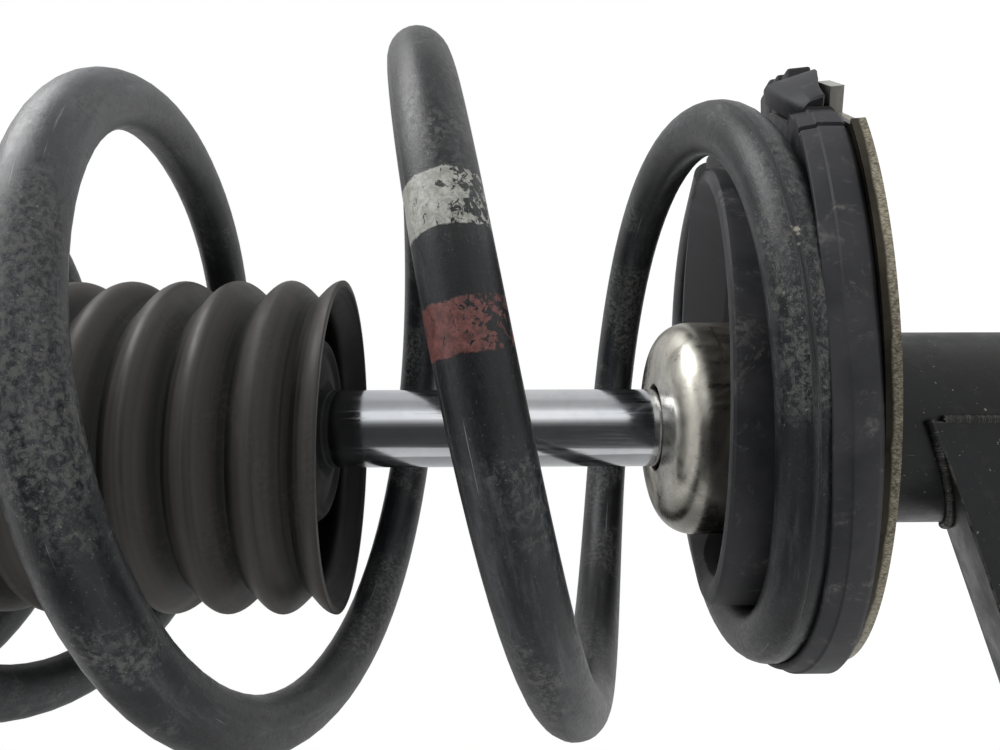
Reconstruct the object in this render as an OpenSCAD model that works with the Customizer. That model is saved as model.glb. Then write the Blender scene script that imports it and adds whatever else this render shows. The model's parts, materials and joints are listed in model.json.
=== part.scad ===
// Front suspension strut with its coil spring, spring seats, dust boot, bump stop,
// top mount and strut bearing, shown at full rebound.
// Millimetres. The strut stands on +Z with its top mount up. The origin is the centre of the
// top mount's bearing face. +X points outboard, towards the knuckle clevis.

/* [Damper] */
// Diameter of the chromed piston rod
rod_d = 22; // [20:0.5:24]
// Diameter of the rod's threaded top end
rod_thread_d = 14; // [12:1:14]
// Outer diameter of the strut tube
tube_d = 54; // [52:1:58]
// Wall of the strut tube
tube_wall = 2.6; // [2:0.1:3]
// Length of the strut tube
tube_len = 282.8; // [278:0.2:300]
// Bore of the pressure tube that the piston slides in
bore_d = 32; // [30:1:34]
// Wall of the pressure tube
pressure_wall = 1.6; // [1.2:0.1:2]
// Radial running clearance of the rod in its guide and seal
rod_clearance = 0.05; // [0.03:0.01:0.08]
// Radial running clearance of the piston band in the pressure tube
band_clearance = 0.04; // [0.03:0.01:0.08]
// Distance from the mount face down to the striker cap at full rebound
cap_drop = 251.6; // [248:0.2:258]
// Distance from the rod guide down to the top of the piston at full rebound
piston_drop = 68; // [60:1:76]

/* [Striker cap] */
// Height of the striker cap
cap_len = 30; // [26:1:36]
// Sheet thickness of the striker cap
cap_wall = 2; // [1.6:0.1:2.4]
// Outer radius of the striker cap
cap_r = 29.9; // [29.6:0.1:31]
// Radius of the cap's rounded shoulder
cap_shoulder = 9; // [6:0.5:10]
// Number of crimps pressed into the cap's skirt
cap_crimps = 6; // [4:1:8]
// Width of each crimp
cap_crimp_w = 16; // [10:0.5:18]

/* [Coil spring] */
// Diameter of the spring wire
wire_d = 13; // [11:0.5:13.5]
// Mean radius of the dead turn on the lower seat
coil_seat_r = 64.8; // [63:0.2:66]
// Mean radius of the turns in the belly
coil_belly_r = 76.2; // [72:0.2:80]
// Mean radius of the turn at the upper seat
coil_top_r = 69.9; // [68:0.2:72]
// Angle that the wire winds through from tip to tip
coil_sweep = 1680; // [1660:10:1720]
// Rise per turn of the dead turn on the lower seat
dead_pitch = 3.6; // [3:0.2:5]
// Rise per turn of the last turn under the upper seat
closing_pitch = 20; // [16:1:24]
// Sideways bow of the spring's centre line
coil_bow = 21.8; // [16:0.2:24]
// Direction of the bow, as an angle from +X
coil_bow_angle = -29; // [-40:1:-20]
// Tilt of the turns towards +X
coil_tilt = 5; // [3:0.5:6]
// Compass angle of the wire's lower tip
coil_tip_angle = 80; // [72:1:88]
// Rings of points in each turn
coil_rings = 24; // [24:1:36]

/* [Lower spring seat] */
// Distance from the striker cap's rim down to the middle of the seat's underside
seat_fall = 40.7; // [38:0.1:43]
// Radius of the steel lower seat
seat_r = 76.7; // [76:0.1:79]
// Offset of the lower seat from the rod towards +X
seat_x = 17.6; // [16:0.2:19]
// Offset of the lower seat from the rod towards +Y
seat_y = 9; // [7:0.2:10]
// Tilt of the lower seat
seat_tilt = 12; // [11:0.5:13]
// Compass angle of the lower seat's highest point
seat_high_angle = -32; // [-40:1:-24]
// Sheet thickness of the lower seat
seat_t = 2.8; // [2.4:0.1:3.2]
// Depth of the dish pressed into the middle of the lower seat
seat_dish = 10; // [8:0.5:12]
// Thickness of the lower pad's inner collar
collar_wall = 7; // [5:0.5:8]
// Height of the middle of the collar's top edge over the seat's underside
collar_rise = 30.3; // [28:0.1:33]
// Tilt of the collar's top edge
collar_tilt = 9.6; // [8:0.2:11]

/* [Upper spring seat] */
// Distance from the mount face down to the underside of the seat's flange
flange_drop = 29.5; // [28:0.5:31]
// Radius of the upper seat
upper_seat_r = 82; // [80:1:86]
// Sheet thickness of the upper seat
upper_seat_t = 2.2; // [1.8:0.1:2.6]
// Least thickness of the rubber under the flange
upper_pad_t = 3; // [2.5:0.25:4]

/* [Dust boot and bump stop] */
// Crest radius of the boot's ribs at its open end
boot_r = 46.4; // [45:0.2:47]
// Depth of the grooves between the ribs
boot_groove = 4.2; // [3:0.2:5]
// Wall of the boot
boot_wall = 1.8; // [1.5:0.1:2]
// Number of ribs
boot_ribs = 9; // [8:1:10]
// Distance from the mount face down to the boot's open end
boot_drop = 162.6; // [158:0.2:163]
// Lean of the boot as it hangs from its neck
boot_lean = 2.4; // [0:0.1:2.6]
// Compass angle that the boot leans to
boot_lean_angle = 150; // [120:2:180]
// Radius of the bump stop
bump_r = 27.5; // [24:0.5:28]
// Distance from the mount face down to the bump stop's nose
bump_drop = 158; // [150:0.5:162]

/* [Top mount] */
// Diameter of the circle that the three studs stand on
stud_circle = 104; // [102:1:112]
// Diameter of the studs
stud_d = 8; // [8:1:10]
// Height of the studs above the mount face
stud_h = 24; // [20:1:32]
// Sheet thickness of the mount plate
plate_t = 3; // [2.5:0.1:3.5]
// Outer radius of the rubber bush
bush_r = 30; // [29:0.5:30.5]
// Height of the steel sleeve in the bush
sleeve_h = 26; // [24:1:30]

/* [Strut bearing] */
// Diameter of the bearing balls
ball_d = 6; // [5:0.5:6]
// Radius of the circle that the balls run on
ball_circle_r = 39; // [38.5:0.1:39.2]
// Number of balls
ball_count = 20; // [16:1:24]
// Clearance between a ball and its grooves and cage
ball_clearance = 0.05; // [0.03:0.01:0.08]

/* [Knuckle clevis] */
// Inside gap between the clevis ears
clevis_gap = 32; // [28:1:36]
// Sheet thickness of the clevis
clevis_t = 4; // [3:0.5:5]
// Distance between the two clevis holes
clevis_spacing = 60; // [54:1:62]
// Distance from the tube's axis out to the holes
clevis_reach = 52; // [48:1:58]
// Diameter of the clevis holes
clevis_hole_d = 14.2; // [12.2:0.2:16.2]
// Height of the clevis on the tube
clevis_h = 104; // [100:1:110]

/* [Link and hose brackets] */
// Distance from the lower seat down to the top of the link bracket
link_room = 22.9; // [22.7:0.1:29.7]
// Reach of the link bracket from the tube's axis
link_reach = 84; // [78:1:92]
// Diameter of the link bracket's hole
link_hole_d = 12.2; // [10.2:0.2:12.2]
// Compass angle that the link bracket points to
link_angle = 235; // [225:1:245]
// Diameter of the hose bracket's hole
hose_hole_d = 10.4; // [8.4:0.2:12.4]
// Distance from the top of the clevis up to the hose bracket
hose_rise = 28; // [22:1:36]

/* [Hidden] */
$fn = 96;

eps = 0.01;
rod_r = rod_d / 2;
thread_r = rod_thread_d / 2;
tube_r = tube_d / 2;
tube_bore_r = tube_r - tube_wall;
bore_r = bore_d / 2;
wire_r = wire_d / 2;
press_gap = 0.02;        // radial gap of pieces pressed or welded together
soft_gap = 0.3;          // gap between a soft piece and its neighbour

// Heights of the top mount, counted from the mount face
neck_wall = 3;
neck_top = 12;
neck_bottom = -12;
neck_lip = 3;
sleeve_r = thread_r + 6;
sleeve_top = 12;
sleeve_bottom = sleeve_top - sleeve_h;
washer_t = 3;
washer_r = 24;
cup_t = 3;
shoulder_z = sleeve_bottom - cup_t;
nut_h = 13;
nut_flat = rod_thread_d + 8;
rod_end_z = sleeve_top + washer_t + nut_h + 4;
lobe_r = stud_d / 2 + 8;
stud_head_r = stud_d / 2 + 2.4;
stud_head_h = 2.6;
stud_spline = 0.5;       // the splined shoulder stands this proud of the thread

// Strut bearing
ball_r = ball_d / 2;
groove_r = ball_r + ball_clearance;
race_gap = 3.2;
race_floor = 2.4;
upper_race_h = groove_r - race_gap / 2 + race_floor;
ball_z = -plate_t - upper_race_h - race_gap / 2;
lower_race_top = ball_z - race_gap / 2;
lower_race_bottom = lower_race_top - upper_race_h;
race_half_w = 4.6;
cage_h = race_gap - 0.8;
race_skirt = 1.4;

// Upper spring seat, boot and bump stop
hub_r = bush_r + neck_wall + 0.4;
flange_z = -flange_drop;
neck_tube_h = 14;
boot_collar_h = 9;
boot_z = -boot_drop;
boot_top_z = lower_race_bottom - upper_seat_t - neck_tube_h + boot_collar_h;
bellows_top_z = boot_top_z - boot_collar_h;
boot_top_r = hub_r + upper_seat_t + 0.2;
cup_wall = 2;
cup_skirt = 8;           // height of the cup's skirt under its roof
cup_r = bump_r + 2 * soft_gap + cup_wall;
bump_z = -bump_drop;

// Damper
cap_z = -cap_drop;
cap_roof = cap_wall;
cap_turn = -46;
tube_top = cap_z - cap_roof - 1.6;
tube_roll = 3.2;         // rounding of the tube's rolled lip
tube_bottom = tube_top - tube_len;
lip_t = tube_wall;
lip_r = rod_r + 8;
seal_top = tube_top - lip_t;
seal_h = 6;
guide_h = 22;
guide_top = seal_top - seal_h;
guide_bottom = guide_top - guide_h;
guide_bush_wall = 1.5;
spigot_h = 7;
rebound_bumper_h = 8;
rebound_ring_h = 5;
piston_h = 20;
piston_top = guide_bottom - piston_drop;
piston_bottom = piston_top - piston_h;
disc_stack_h = 2;
spindle_r = rod_r - 5;
piston_nut_h = 9;
base_h = 6;
foot_h = 12;
foot_bottom = tube_bottom + base_h;
foot_top = foot_bottom + foot_h;

// Lower spring seat
seat_z = cap_z - seat_fall;
collar_top = seat_z + collar_rise;

// Knuckle clevis
clevis_top = tube_bottom + clevis_h + 4;
clevis_low = tube_bottom + 4;
clevis_mid = (clevis_top + clevis_low) / 2;
ear_edge = clevis_reach + clevis_hole_d / 2 + 9;

// ---------------------------------------------------------------- formulas
function clamp01(x) = min(1, max(0, x));
function smooth(start, width, x) =
    let (t = clamp01((x - start) / width)) t * t * (3 - 2 * t);
// Integral of smooth() over x
function smooth_sum(start, width, x) =
    let (t = clamp01((x - start) / width))
    width * (t * t * t - t * t * t * t / 2) + max(0, x - start - width);

// The spring's wire, by the angle it has wound through from its lower tip
dead_angle = 248;          // the wire leaves the pad here
rise_angle = 96;
flare_from_angle = 345;
flare_angle = 213;
taper_from_angle = 907;
taper_angle = 304;
close_from_angle = 1320;
close_angle = 195;
tip_pitch = 14;
tip_end_angle = 160;
tip_fade_angle = 60;
bow_from_angle = 230;
bow_arc_angle = 1200;
level_from_angle = 1150;      // the turns lie level from here on, under the flat upper seat
level_angle = 380;
coil_ref_angle = 330;
coil_ref_rise = 30.8;    // height of the wire over the seat there
coil_shift_x = 3.1;      // the wire's centre from the seat's centre
coil_shift_y = 5.3;
coil_ref_z = seat_z + coil_ref_rise;
coil_seat_x = seat_x - coil_shift_x;
coil_seat_y = seat_y - coil_shift_y;
coil_line_x = -19.5;     // run of the centre line over the spring's height
centre_from_angle = 1250;     // from here the turns ease back over the rod
centre_angle = 350;

function coil_r(a) =
    coil_seat_r + (coil_belly_r - coil_seat_r) * smooth(flare_from_angle, flare_angle, a)
    - (coil_belly_r - coil_top_r) * smooth(taper_from_angle, taper_angle, a);
function opened(a) =
    (smooth_sum(dead_angle, rise_angle, a) - smooth_sum(dead_angle, rise_angle, coil_ref_angle)) / 360;
function closed(a) = smooth_sum(close_from_angle, close_angle, a) / 360;
function tip_drop(a) = (tip_pitch - dead_pitch)
    * smooth_sum(-tip_end_angle, tip_fade_angle, -a) / 360;
coil_top_z = flange_z - upper_pad_t - wire_r;
coil_height = coil_top_z - coil_ref_z;
open_pitch = (coil_height - dead_pitch * (coil_sweep - coil_ref_angle) / 360
              + dead_pitch * opened(coil_sweep) - closing_pitch * closed(coil_sweep))
             / (opened(coil_sweep) - closed(coil_sweep));
function coil_rise(a) = dead_pitch * (a - coil_ref_angle) / 360
    + (open_pitch - dead_pitch) * opened(a)
    - (open_pitch - closing_pitch) * closed(a) - tip_drop(a);
function coil_lean(a) = tan(coil_tilt) * (1 - smooth(level_from_angle, level_angle, a));
function coil_centre(a) =
    let (u = clamp01(coil_rise(a) / coil_height),
         bow = coil_bow * sin(180 * clamp01((a - bow_from_angle) / bow_arc_angle)),
         back = 1 - smooth(centre_from_angle, centre_angle, a))
    [back * (coil_seat_x + coil_line_x * u) + bow * cos(coil_bow_angle),
     back * coil_seat_y + bow * sin(coil_bow_angle), bow * cos(coil_bow_angle)];
function coil_point(a) =
    let (r = coil_r(a), c = coil_centre(a), az = a + coil_tip_angle)
    [c[0] + r * cos(az), c[1] + r * sin(az),
     coil_ref_z + coil_rise(a) + coil_lean(a) * (c[2] + r * cos(az))];

// Height of the lower seat's upper face at a place
function seat_face(x, y) = seat_z + seat_t / cos(seat_tilt) + tan(seat_tilt)
    * ((x - seat_x) * cos(seat_high_angle) + (y - seat_y) * sin(seat_high_angle));
// Height of the lower pad's collar at a place
collar_high_angle = -40;
function collar_z(x, y) = collar_top + tan(collar_tilt)
    * ((x - coil_seat_x) * cos(collar_high_angle) + (y - coil_seat_y) * sin(collar_high_angle));

function unit(v) = v / norm(v);
coil_steps = round(coil_sweep / 360 * coil_rings);
coil_line = [for (i = [0 : coil_steps]) coil_point(coil_sweep * i / coil_steps)];
coil_start_dir = unit(coil_line[0] - coil_line[1]);
coil_end_dir = unit(coil_line[coil_steps] - coil_line[coil_steps - 1]);
coil_path = concat([coil_line[0] + wire_d * coil_start_dir], coil_line,
                   [coil_line[coil_steps] + wire_d * coil_end_dir]);
coil_least_gap = min([for (i = [0 : coil_steps])
    for (j = [i + round(coil_rings / 2) : 1 : coil_steps])
        norm(coil_line[i] - coil_line[j])]) - wire_d;
echo(str("coil spring: open pitch ", open_pitch, " mm, least gap to itself ",
         coil_least_gap, " mm"));

// ---------------------------------------------------------------- shared shapes
// A ring from r0 to r1 between two heights
module ring(r0, r1, low, high) {
    translate([0, 0, low])
        rotate_extrude() translate([r0, 0]) square([r1 - r0, high - low]);
}

// A revolved outline
module turned(points) {
    rotate_extrude() polygon(points);
}

module hexagon(across, low, high) {
    translate([0, 0, low]) cylinder(r = across / 2 / cos(30), h = high - low, $fn = 6);
}

// A hexagon nut with chamfered corners and a bore
module hex_nut(across, bore, low, high) {
    corner = across / 2 / cos(30);
    cut = corner - across / 2 + 0.3;
    difference() {
        intersection() {
            hexagon(across, low, high);
            turned([[0, low], [corner - cut, low], [corner, low + cut * 0.58],
                    [corner, high - cut * 0.58], [corner - cut, high], [0, high]]);
        }
        translate([0, 0, low - 1]) cylinder(r = bore, h = high - low + 2);
    }
}

// A tube swept along a line of points, with flat ends
module swept_tube(path, r, sides) {
    n = len(path);
    dirs = [for (i = [0 : n - 1]) unit(path[min(n - 1, i + 1)] - path[max(0, i - 1)])];
    rings = [for (i = [0 : n - 1])
        let (side = unit(cross(dirs[i], [0, 0, 1])), up = cross(side, dirs[i]))
        for (k = [0 : sides - 1])
            path[i] + r * (cos(360 * k / sides) * side + sin(360 * k / sides) * up)];
    walls = [for (i = [0 : n - 2]) for (k = [0 : sides - 1])
        let (a = i * sides + k, b = i * sides + (k + 1) % sides, c = a + sides, d = b + sides)
        for (f = [[a, b, c], [b, d, c]]) f];
    start = [for (k = [1 : sides - 2]) [0, k + 1, k]];
    last = (n - 1) * sides;
    end = [for (k = [1 : sides - 2]) [last, last + k, last + k + 1]];
    polyhedron(rings, concat(walls, start, end));
}

// A closed ring lofted through one outline for each step round
module lofted_ring(outlines) {
    n = len(outlines);
    m = len(outlines[0]);
    points = [for (o = outlines) for (p = o) p];
    faces = [for (i = [0 : n - 1]) for (k = [0 : m - 1])
        let (a = i * m + k, b = i * m + (k + 1) % m,
             c = ((i + 1) % n) * m + k, d = ((i + 1) % n) * m + (k + 1) % m)
        for (f = [[a, c, b], [b, c, d]]) f];
    polyhedron(points, faces);
}

// ---------------------------------------------------------------- top mount
module mount_outline() {
    circle(r = stud_circle / 2 - stud_d);
    for (i = [0 : 2]) rotate(120 * i) {
        translate([stud_circle / 2, 0]) circle(r = lobe_r);
        translate([stud_circle / 4, -lobe_r]) square([stud_circle / 4, 2 * lobe_r]);
    }
}

module top_mount_plate() {
    color("dimgray") difference() {
        union() {
            translate([0, 0, -plate_t]) linear_extrude(plate_t) mount_outline();
            turned([[bush_r, neck_bottom], [bush_r + neck_wall, neck_bottom],
                    [bush_r + neck_wall, neck_top - 2], [bush_r + neck_wall - 2, neck_top],
                    [bush_r - neck_lip, neck_top], [bush_r - neck_lip, neck_top - 2],
                    [bush_r, neck_top - 2]]);
        }
        translate([0, 0, -plate_t - 1]) cylinder(r = bush_r, h = plate_t + 2);
        for (i = [0 : 2]) rotate(120 * i)
            translate([stud_circle / 2, 0, -plate_t - 1])
                cylinder(r = stud_d / 2 + stud_spline + press_gap, h = plate_t + 2);
    }
}

module top_mount_studs() {
    color("silver") for (i = [0 : 2]) rotate(120 * i) translate([stud_circle / 2, 0, 0])
        turned([[0, -plate_t - stud_head_h], [stud_head_r - 0.6, -plate_t - stud_head_h],
                [stud_head_r, -plate_t - stud_head_h + 0.6], [stud_head_r, -plate_t],
                [stud_d / 2 + stud_spline, -plate_t], [stud_d / 2 + stud_spline, 0],
                [stud_d / 2, 0], [stud_d / 2, stud_h - 1],
                [stud_d / 2 - 1, stud_h], [0, stud_h]]);
}

module top_mount_rubber() {
    inner = sleeve_r + press_gap;
    outer = bush_r - press_gap;
    mid = (inner + outer) / 2;
    top = neck_top - 2 - press_gap;
    color([0.13, 0.13, 0.14]) turned([
        [inner, sleeve_bottom + 1.5], [mid - 3, sleeve_bottom + 4.5], [mid + 3, sleeve_bottom + 4.5],
        [outer - 2, neck_bottom + 0.5], [outer, neck_bottom + 0.5], [outer, top],
        [outer - 2, top], [mid + 3, top - 4], [mid - 3, top - 4], [inner, top + 0.4]]);
}

module top_mount_sleeve() {
    color("silver") ring(thread_r + press_gap, sleeve_r, sleeve_bottom, sleeve_top);
}

module rebound_washer() {
    color("gray") turned([
        [thread_r + press_gap, sleeve_top], [sleeve_r + 1, sleeve_top],
        [washer_r, sleeve_top + 2], [washer_r, sleeve_top + 2 + washer_t - 0.6],
        [sleeve_r + 1, sleeve_top + washer_t], [thread_r + press_gap, sleeve_top + washer_t]]);
}

module rod_nut() {
    low = sleeve_top + washer_t;
    color("silver") {
        difference() {
            union() {
                hex_nut(nut_flat, thread_r + press_gap, low + 2, low + nut_h);
                ring(thread_r + press_gap, nut_flat / 2 + 3, low, low + 2.4);
            }
            translate([0, 0, low - 1]) cylinder(r = thread_r + press_gap, h = nut_h + 2);
        }
    }
}

module bump_stop_cup() {
    top = sleeve_bottom;
    color("gray") turned([
        [thread_r + press_gap, top - cup_t], [cup_r - cup_wall, top - cup_t],
        [cup_r - cup_wall, top - cup_t - cup_skirt], [cup_r, top - cup_t - cup_skirt],
        [cup_r, top - cup_wall], [cup_r - cup_wall, top], [thread_r + press_gap, top]]);
}

module bump_stop() {
    top = shoulder_z - soft_gap;
    inner = rod_r + 0.1;
    waist = bump_r - 6;
    span = top - bump_z;
    grooves = 4;
    step = span / (grooves + 0.6);
    half = 5;
    sides = [for (i = [1 : grooves]) let (z = top - i * step)
        for (p = [[bump_r, z + half], [waist, z + 1.5], [waist, z - 1.5], [bump_r, z - half]]) p];
    color([0.15, 0.15, 0.16]) turned(concat(
        [[inner, top], [bump_r, top]], sides,
        [[bump_r, bump_z + 5], [bump_r - 1.2, bump_z + 1.5], [bump_r - 3.6, bump_z],
         [bump_r - 5.6, bump_z + 1.8], [inner + 3, bump_z], [inner, bump_z + 2]]));
}

// ---------------------------------------------------------------- strut bearing
module ball_groove() {
    translate([0, 0, ball_z]) rotate_extrude()
        translate([ball_circle_r, 0]) circle(r = groove_r, $fn = 48);
}

module bearing_upper_race() {
    top = -plate_t;
    low = top - upper_race_h;
    inner = hub_r;
    outer = ball_circle_r + race_half_w;
    color([0.2, 0.2, 0.22]) difference() {
        turned([[inner, low], [outer, low], [outer, lower_race_bottom + 1.5],
                [outer + race_skirt, lower_race_bottom + 1.5], [outer + race_skirt, top], [inner, top]]);
        ball_groove();
    }
}

module bearing_cage() {
    color([0.8, 0.78, 0.7]) difference() {
        ring(ball_circle_r - race_half_w + 1.2, ball_circle_r + race_half_w - 0.8,
             ball_z - cage_h / 2, ball_z + cage_h / 2);
        for (i = [0 : ball_count - 1]) rotate(360 * i / ball_count)
            translate([ball_circle_r, 0, ball_z - cage_h])
                cylinder(r = groove_r, h = 2 * cage_h, $fn = 32);
    }
}

module bearing_balls() {
    color("silver") for (i = [0 : ball_count - 1]) rotate(360 * i / ball_count)
        translate([ball_circle_r, 0, ball_z]) sphere(r = ball_r, $fn = 32);
}

module bearing_lower_race() {
    color([0.2, 0.2, 0.22]) difference() {
        ring(hub_r + 0.6, ball_circle_r + race_half_w - 0.4, lower_race_bottom, lower_race_top);
        ball_groove();
    }
}

// ---------------------------------------------------------------- upper spring seat and boot
module upper_spring_seat() {
    t = upper_seat_t;
    hub_top = lower_race_bottom;
    hub_edge = ball_circle_r + race_half_w + race_skirt + 1.4;
    foot = hub_edge + 9;
    neck_low = hub_top - t - neck_tube_h;
    color("dimgray") turned([
        [hub_r, neck_low], [hub_r + t, neck_low], [hub_r + t, hub_top - t],
        [hub_edge - 1, hub_top - t], [foot - 1.5, flange_z], [upper_seat_r - t, flange_z],
        [upper_seat_r - t, flange_z - 5], [upper_seat_r, flange_z - 5],
        [upper_seat_r, flange_z + t - 2], [upper_seat_r - 2, flange_z + t],
        [foot, flange_z + t], [hub_edge + 0.5, hub_top], [hub_r, hub_top]]);
}

// The ramp of the upper pad follows the wire's last turn
end_angle = 20;           // room for the wire's straight end
function last_turn(az) =
    let (end = coil_sweep + end_angle, left = coil_tip_angle + end - az)
    end - left + 360 * floor(left / 360);
function top_ramp(az) = coil_point(last_turn(az))[2] + wire_r;

// Radius of the pad's inner lip, which stays inside the wire
function top_lip(az) =
    let (p = coil_point(last_turn(az)))
    min(coil_top_r, norm([p[0], p[1]])) * cos(180 / coil_rings) - wire_r - soft_gap;

pad_least = 1.6;         // thickness left over the wire's end
pad_most = 12;           // thickness where the wire is lowest
pad_shoulder = 8;        // width of the pad inside the wire
pad_lip = 7;             // depth of the lip beside the wire
pad_lip_edge = 2;        // chamfer of the lip
module upper_spring_pad() {
    steps = 36;
    inner = coil_top_r - wire_r - pad_shoulder;
    outer = upper_seat_r - upper_seat_t - soft_gap;
    top = flange_z;
    color([0.13, 0.13, 0.14]) lofted_ring([for (i = [0 : steps - 1])
        let (az = 360 * i / steps, c = cos(az), s = sin(az), wall = top_lip(az),
             floor_z = min(top - pad_least, max(top - pad_most, top_ramp(az) + soft_gap)),
             lip_z = floor_z - pad_lip)
        [for (p = [[inner, top], [inner, lip_z], [wall - pad_lip_edge, lip_z],
                   [wall, lip_z + pad_lip_edge], [wall, floor_z], [outer, floor_z], [outer, top]])
            [p[0] * c, p[0] * s, p[1]]]]);
}

module dust_boot() {
    pitch = (bellows_top_z - boot_z) / boot_ribs;
    per_rib = 8;
    taper = 3;
    function crest(z) = boot_r - taper * (z - boot_z) / (bellows_top_z - boot_z);
    function skin(i) =
        let (z = boot_z + i * pitch / per_rib)
        [crest(z) - boot_groove / 2 + boot_groove / 2 * cos(360 * i / per_rib), z];
    n = boot_ribs * per_rib;
    outside = [for (i = [0 : n]) skin(i)];
    inside = [for (i = [n : -1 : 0]) [skin(i)[0] - boot_wall, skin(i)[1]]];
    color([0.2, 0.19, 0.19]) {
        // Bellows, hanging a little to one side
        translate([0, 0, bellows_top_z]) rotate([0, 0, boot_lean_angle]) rotate([0, -boot_lean, 0])
            translate([0, 0, -bellows_top_z]) turned(concat(outside, inside));
        // Collar that grips the upper seat's neck
        ring(boot_top_r, boot_top_r + 2.4, bellows_top_z - 0.5, boot_top_z);
        ring(boot_top_r, skin(n)[0] - 0.4, bellows_top_z - 3, bellows_top_z + 1.4);
    }
}

// ---------------------------------------------------------------- rod and piston
module piston_rod() {
    low = piston_bottom - disc_stack_h - piston_nut_h - 2;
    color([0.85, 0.86, 0.88]) difference() {
        turned([[0, rod_end_z], [thread_r - 1, rod_end_z], [thread_r, rod_end_z - 1],
                [thread_r, shoulder_z], [rod_r - 1, shoulder_z], [rod_r, shoulder_z - 1],
                [rod_r, piston_top + disc_stack_h], [spindle_r, piston_top + disc_stack_h],
                [spindle_r, low + 1], [spindle_r - 1, low], [0, low]]);
        hexagon(6, rod_end_z - 7, rod_end_z + 1);
    }
}

module rebound_ring() {
    top = guide_bottom - soft_gap - rebound_bumper_h;
    color("gray") turned([
        [rod_r + press_gap, top - rebound_ring_h], [rod_r + 3, top - rebound_ring_h],
        [rod_r + 4.2, top - rebound_ring_h + 1.2], [rod_r + 4.2, top], [rod_r + press_gap, top]]);
}

module rebound_bumper() {
    top = guide_bottom - soft_gap;
    color([0.1, 0.1, 0.1]) turned([
        [rod_r + press_gap, top - rebound_bumper_h], [rod_r + 3.8, top - rebound_bumper_h],
        [rod_r + 3.8, top - 2], [rod_r + 3, top], [rod_r + press_gap, top]]);
}

band_groove = 1.1;
band_h = 10;
piston_port_r = 1.8;

module piston() {
    body_r = bore_r - 0.3;
    mid = (piston_top + piston_bottom) / 2;
    port_circle = (spindle_r + body_r) / 2 + 0.6;
    color("slategray") difference() {
        turned([[spindle_r + press_gap, piston_bottom], [body_r - 1, piston_bottom],
                [body_r, piston_bottom + 1], [body_r, mid - band_h / 2],
                [body_r - band_groove, mid - band_h / 2], [body_r - band_groove, mid + band_h / 2],
                [body_r, mid + band_h / 2], [body_r, piston_top - 1], [body_r - 1, piston_top],
                [spindle_r + press_gap, piston_top]]);
        for (i = [0 : 7]) rotate(45 * i)
            translate([port_circle, 0, piston_bottom - 1])
                cylinder(r = piston_port_r, h = piston_h + 2, $fn = 24);
    }
}

module piston_band() {
    mid = (piston_top + piston_bottom) / 2;
    color([0.35, 0.3, 0.25])
        ring(bore_r - 0.3 - band_groove, bore_r - band_clearance, mid - band_h / 2, mid + band_h / 2);
}

module piston_valve_discs() {
    color("lightsteelblue") {
        turned([[spindle_r + press_gap, piston_top], [bore_r - 3, piston_top],
                [bore_r - 3, piston_top + 0.7], [bore_r - 4.5, piston_top + 0.7],
                [bore_r - 4.5, piston_top + 1.4], [rod_r - 1, piston_top + 1.4],
                [rod_r - 1, piston_top + disc_stack_h],
                [spindle_r + press_gap, piston_top + disc_stack_h]]);
        turned([[spindle_r + press_gap, piston_bottom], [bore_r - 3, piston_bottom],
                [bore_r - 3, piston_bottom - 0.7], [bore_r - 4.5, piston_bottom - 0.7],
                [bore_r - 4.5, piston_bottom - 1.4], [rod_r - 2, piston_bottom - 1.4],
                [rod_r - 2, piston_bottom - disc_stack_h],
                [spindle_r + press_gap, piston_bottom - disc_stack_h]]);
    }
}

module piston_nut() {
    top = piston_bottom - disc_stack_h;
    color("gray") hex_nut(2 * spindle_r + 7, spindle_r + press_gap, top - piston_nut_h, top);
}

// ---------------------------------------------------------------- spring and lower seat
module coil_spring() {
    color([0.2, 0.22, 0.24]) swept_tube(coil_path, wire_r, 8);
}

// The pad lies on the tilted seat, and its groove follows the wire's dead turn
function pad_point(r, az, height) =
    let (x = coil_seat_x + r * cos(az), y = coil_seat_y + r * sin(az))
    [x, y, seat_face(x, y) + height];
// Height of the wire's underside above the seat, by compass angle
function turn_of(az) = (az - coil_tip_angle) - 360 * floor((az - coil_tip_angle) / 360);
function wire_floor(az) =
    let (p = coil_point(turn_of(az)))
    p[2] - wire_r - soft_gap - seat_face(p[0], p[1]);
// The groove stops climbing where the wire lifts off, and steps up in front of the wire's tip
pad_floor_max = 10;
stop_start = 336;
stop_width = 8;
stop_rise = 12;
function pad_groove(az) =
    let (turn = turn_of(az), limit = pad_floor_max + stop_rise * smooth(stop_start, stop_width, turn))
    max(2, turn > dead_angle ? min(limit, wire_floor(az)) : wire_floor(az));
// Radius of the pad's outer edge, round the seat's own centre
function pad_edge(az) =
    let (dx = seat_x - coil_seat_x, dy = seat_y - coil_seat_y,
         along = dx * cos(az) + dy * sin(az), across = dx * sin(az) - dy * cos(az),
         r = seat_r - 1.4 + 2.6 * max(0, -cos(az - 50)))
    min(coil_seat_r + wire_r + 5.2, along + sqrt(r * r - across * across));

// Inner radius of the pad's outer lip, which makes way where the wire swings out as it lifts
function lip_inner(az) =
    let (p = coil_point(turn_of(az)), least = coil_seat_r + wire_r + soft_gap,
         swing = norm([p[0] - coil_seat_x, p[1] - coil_seat_y]) + wire_r + soft_gap,
         lift = wire_floor(az) - pad_groove(az))
    least + max(0, swing - least) * (1 - smooth(4, 3, lift));

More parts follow.
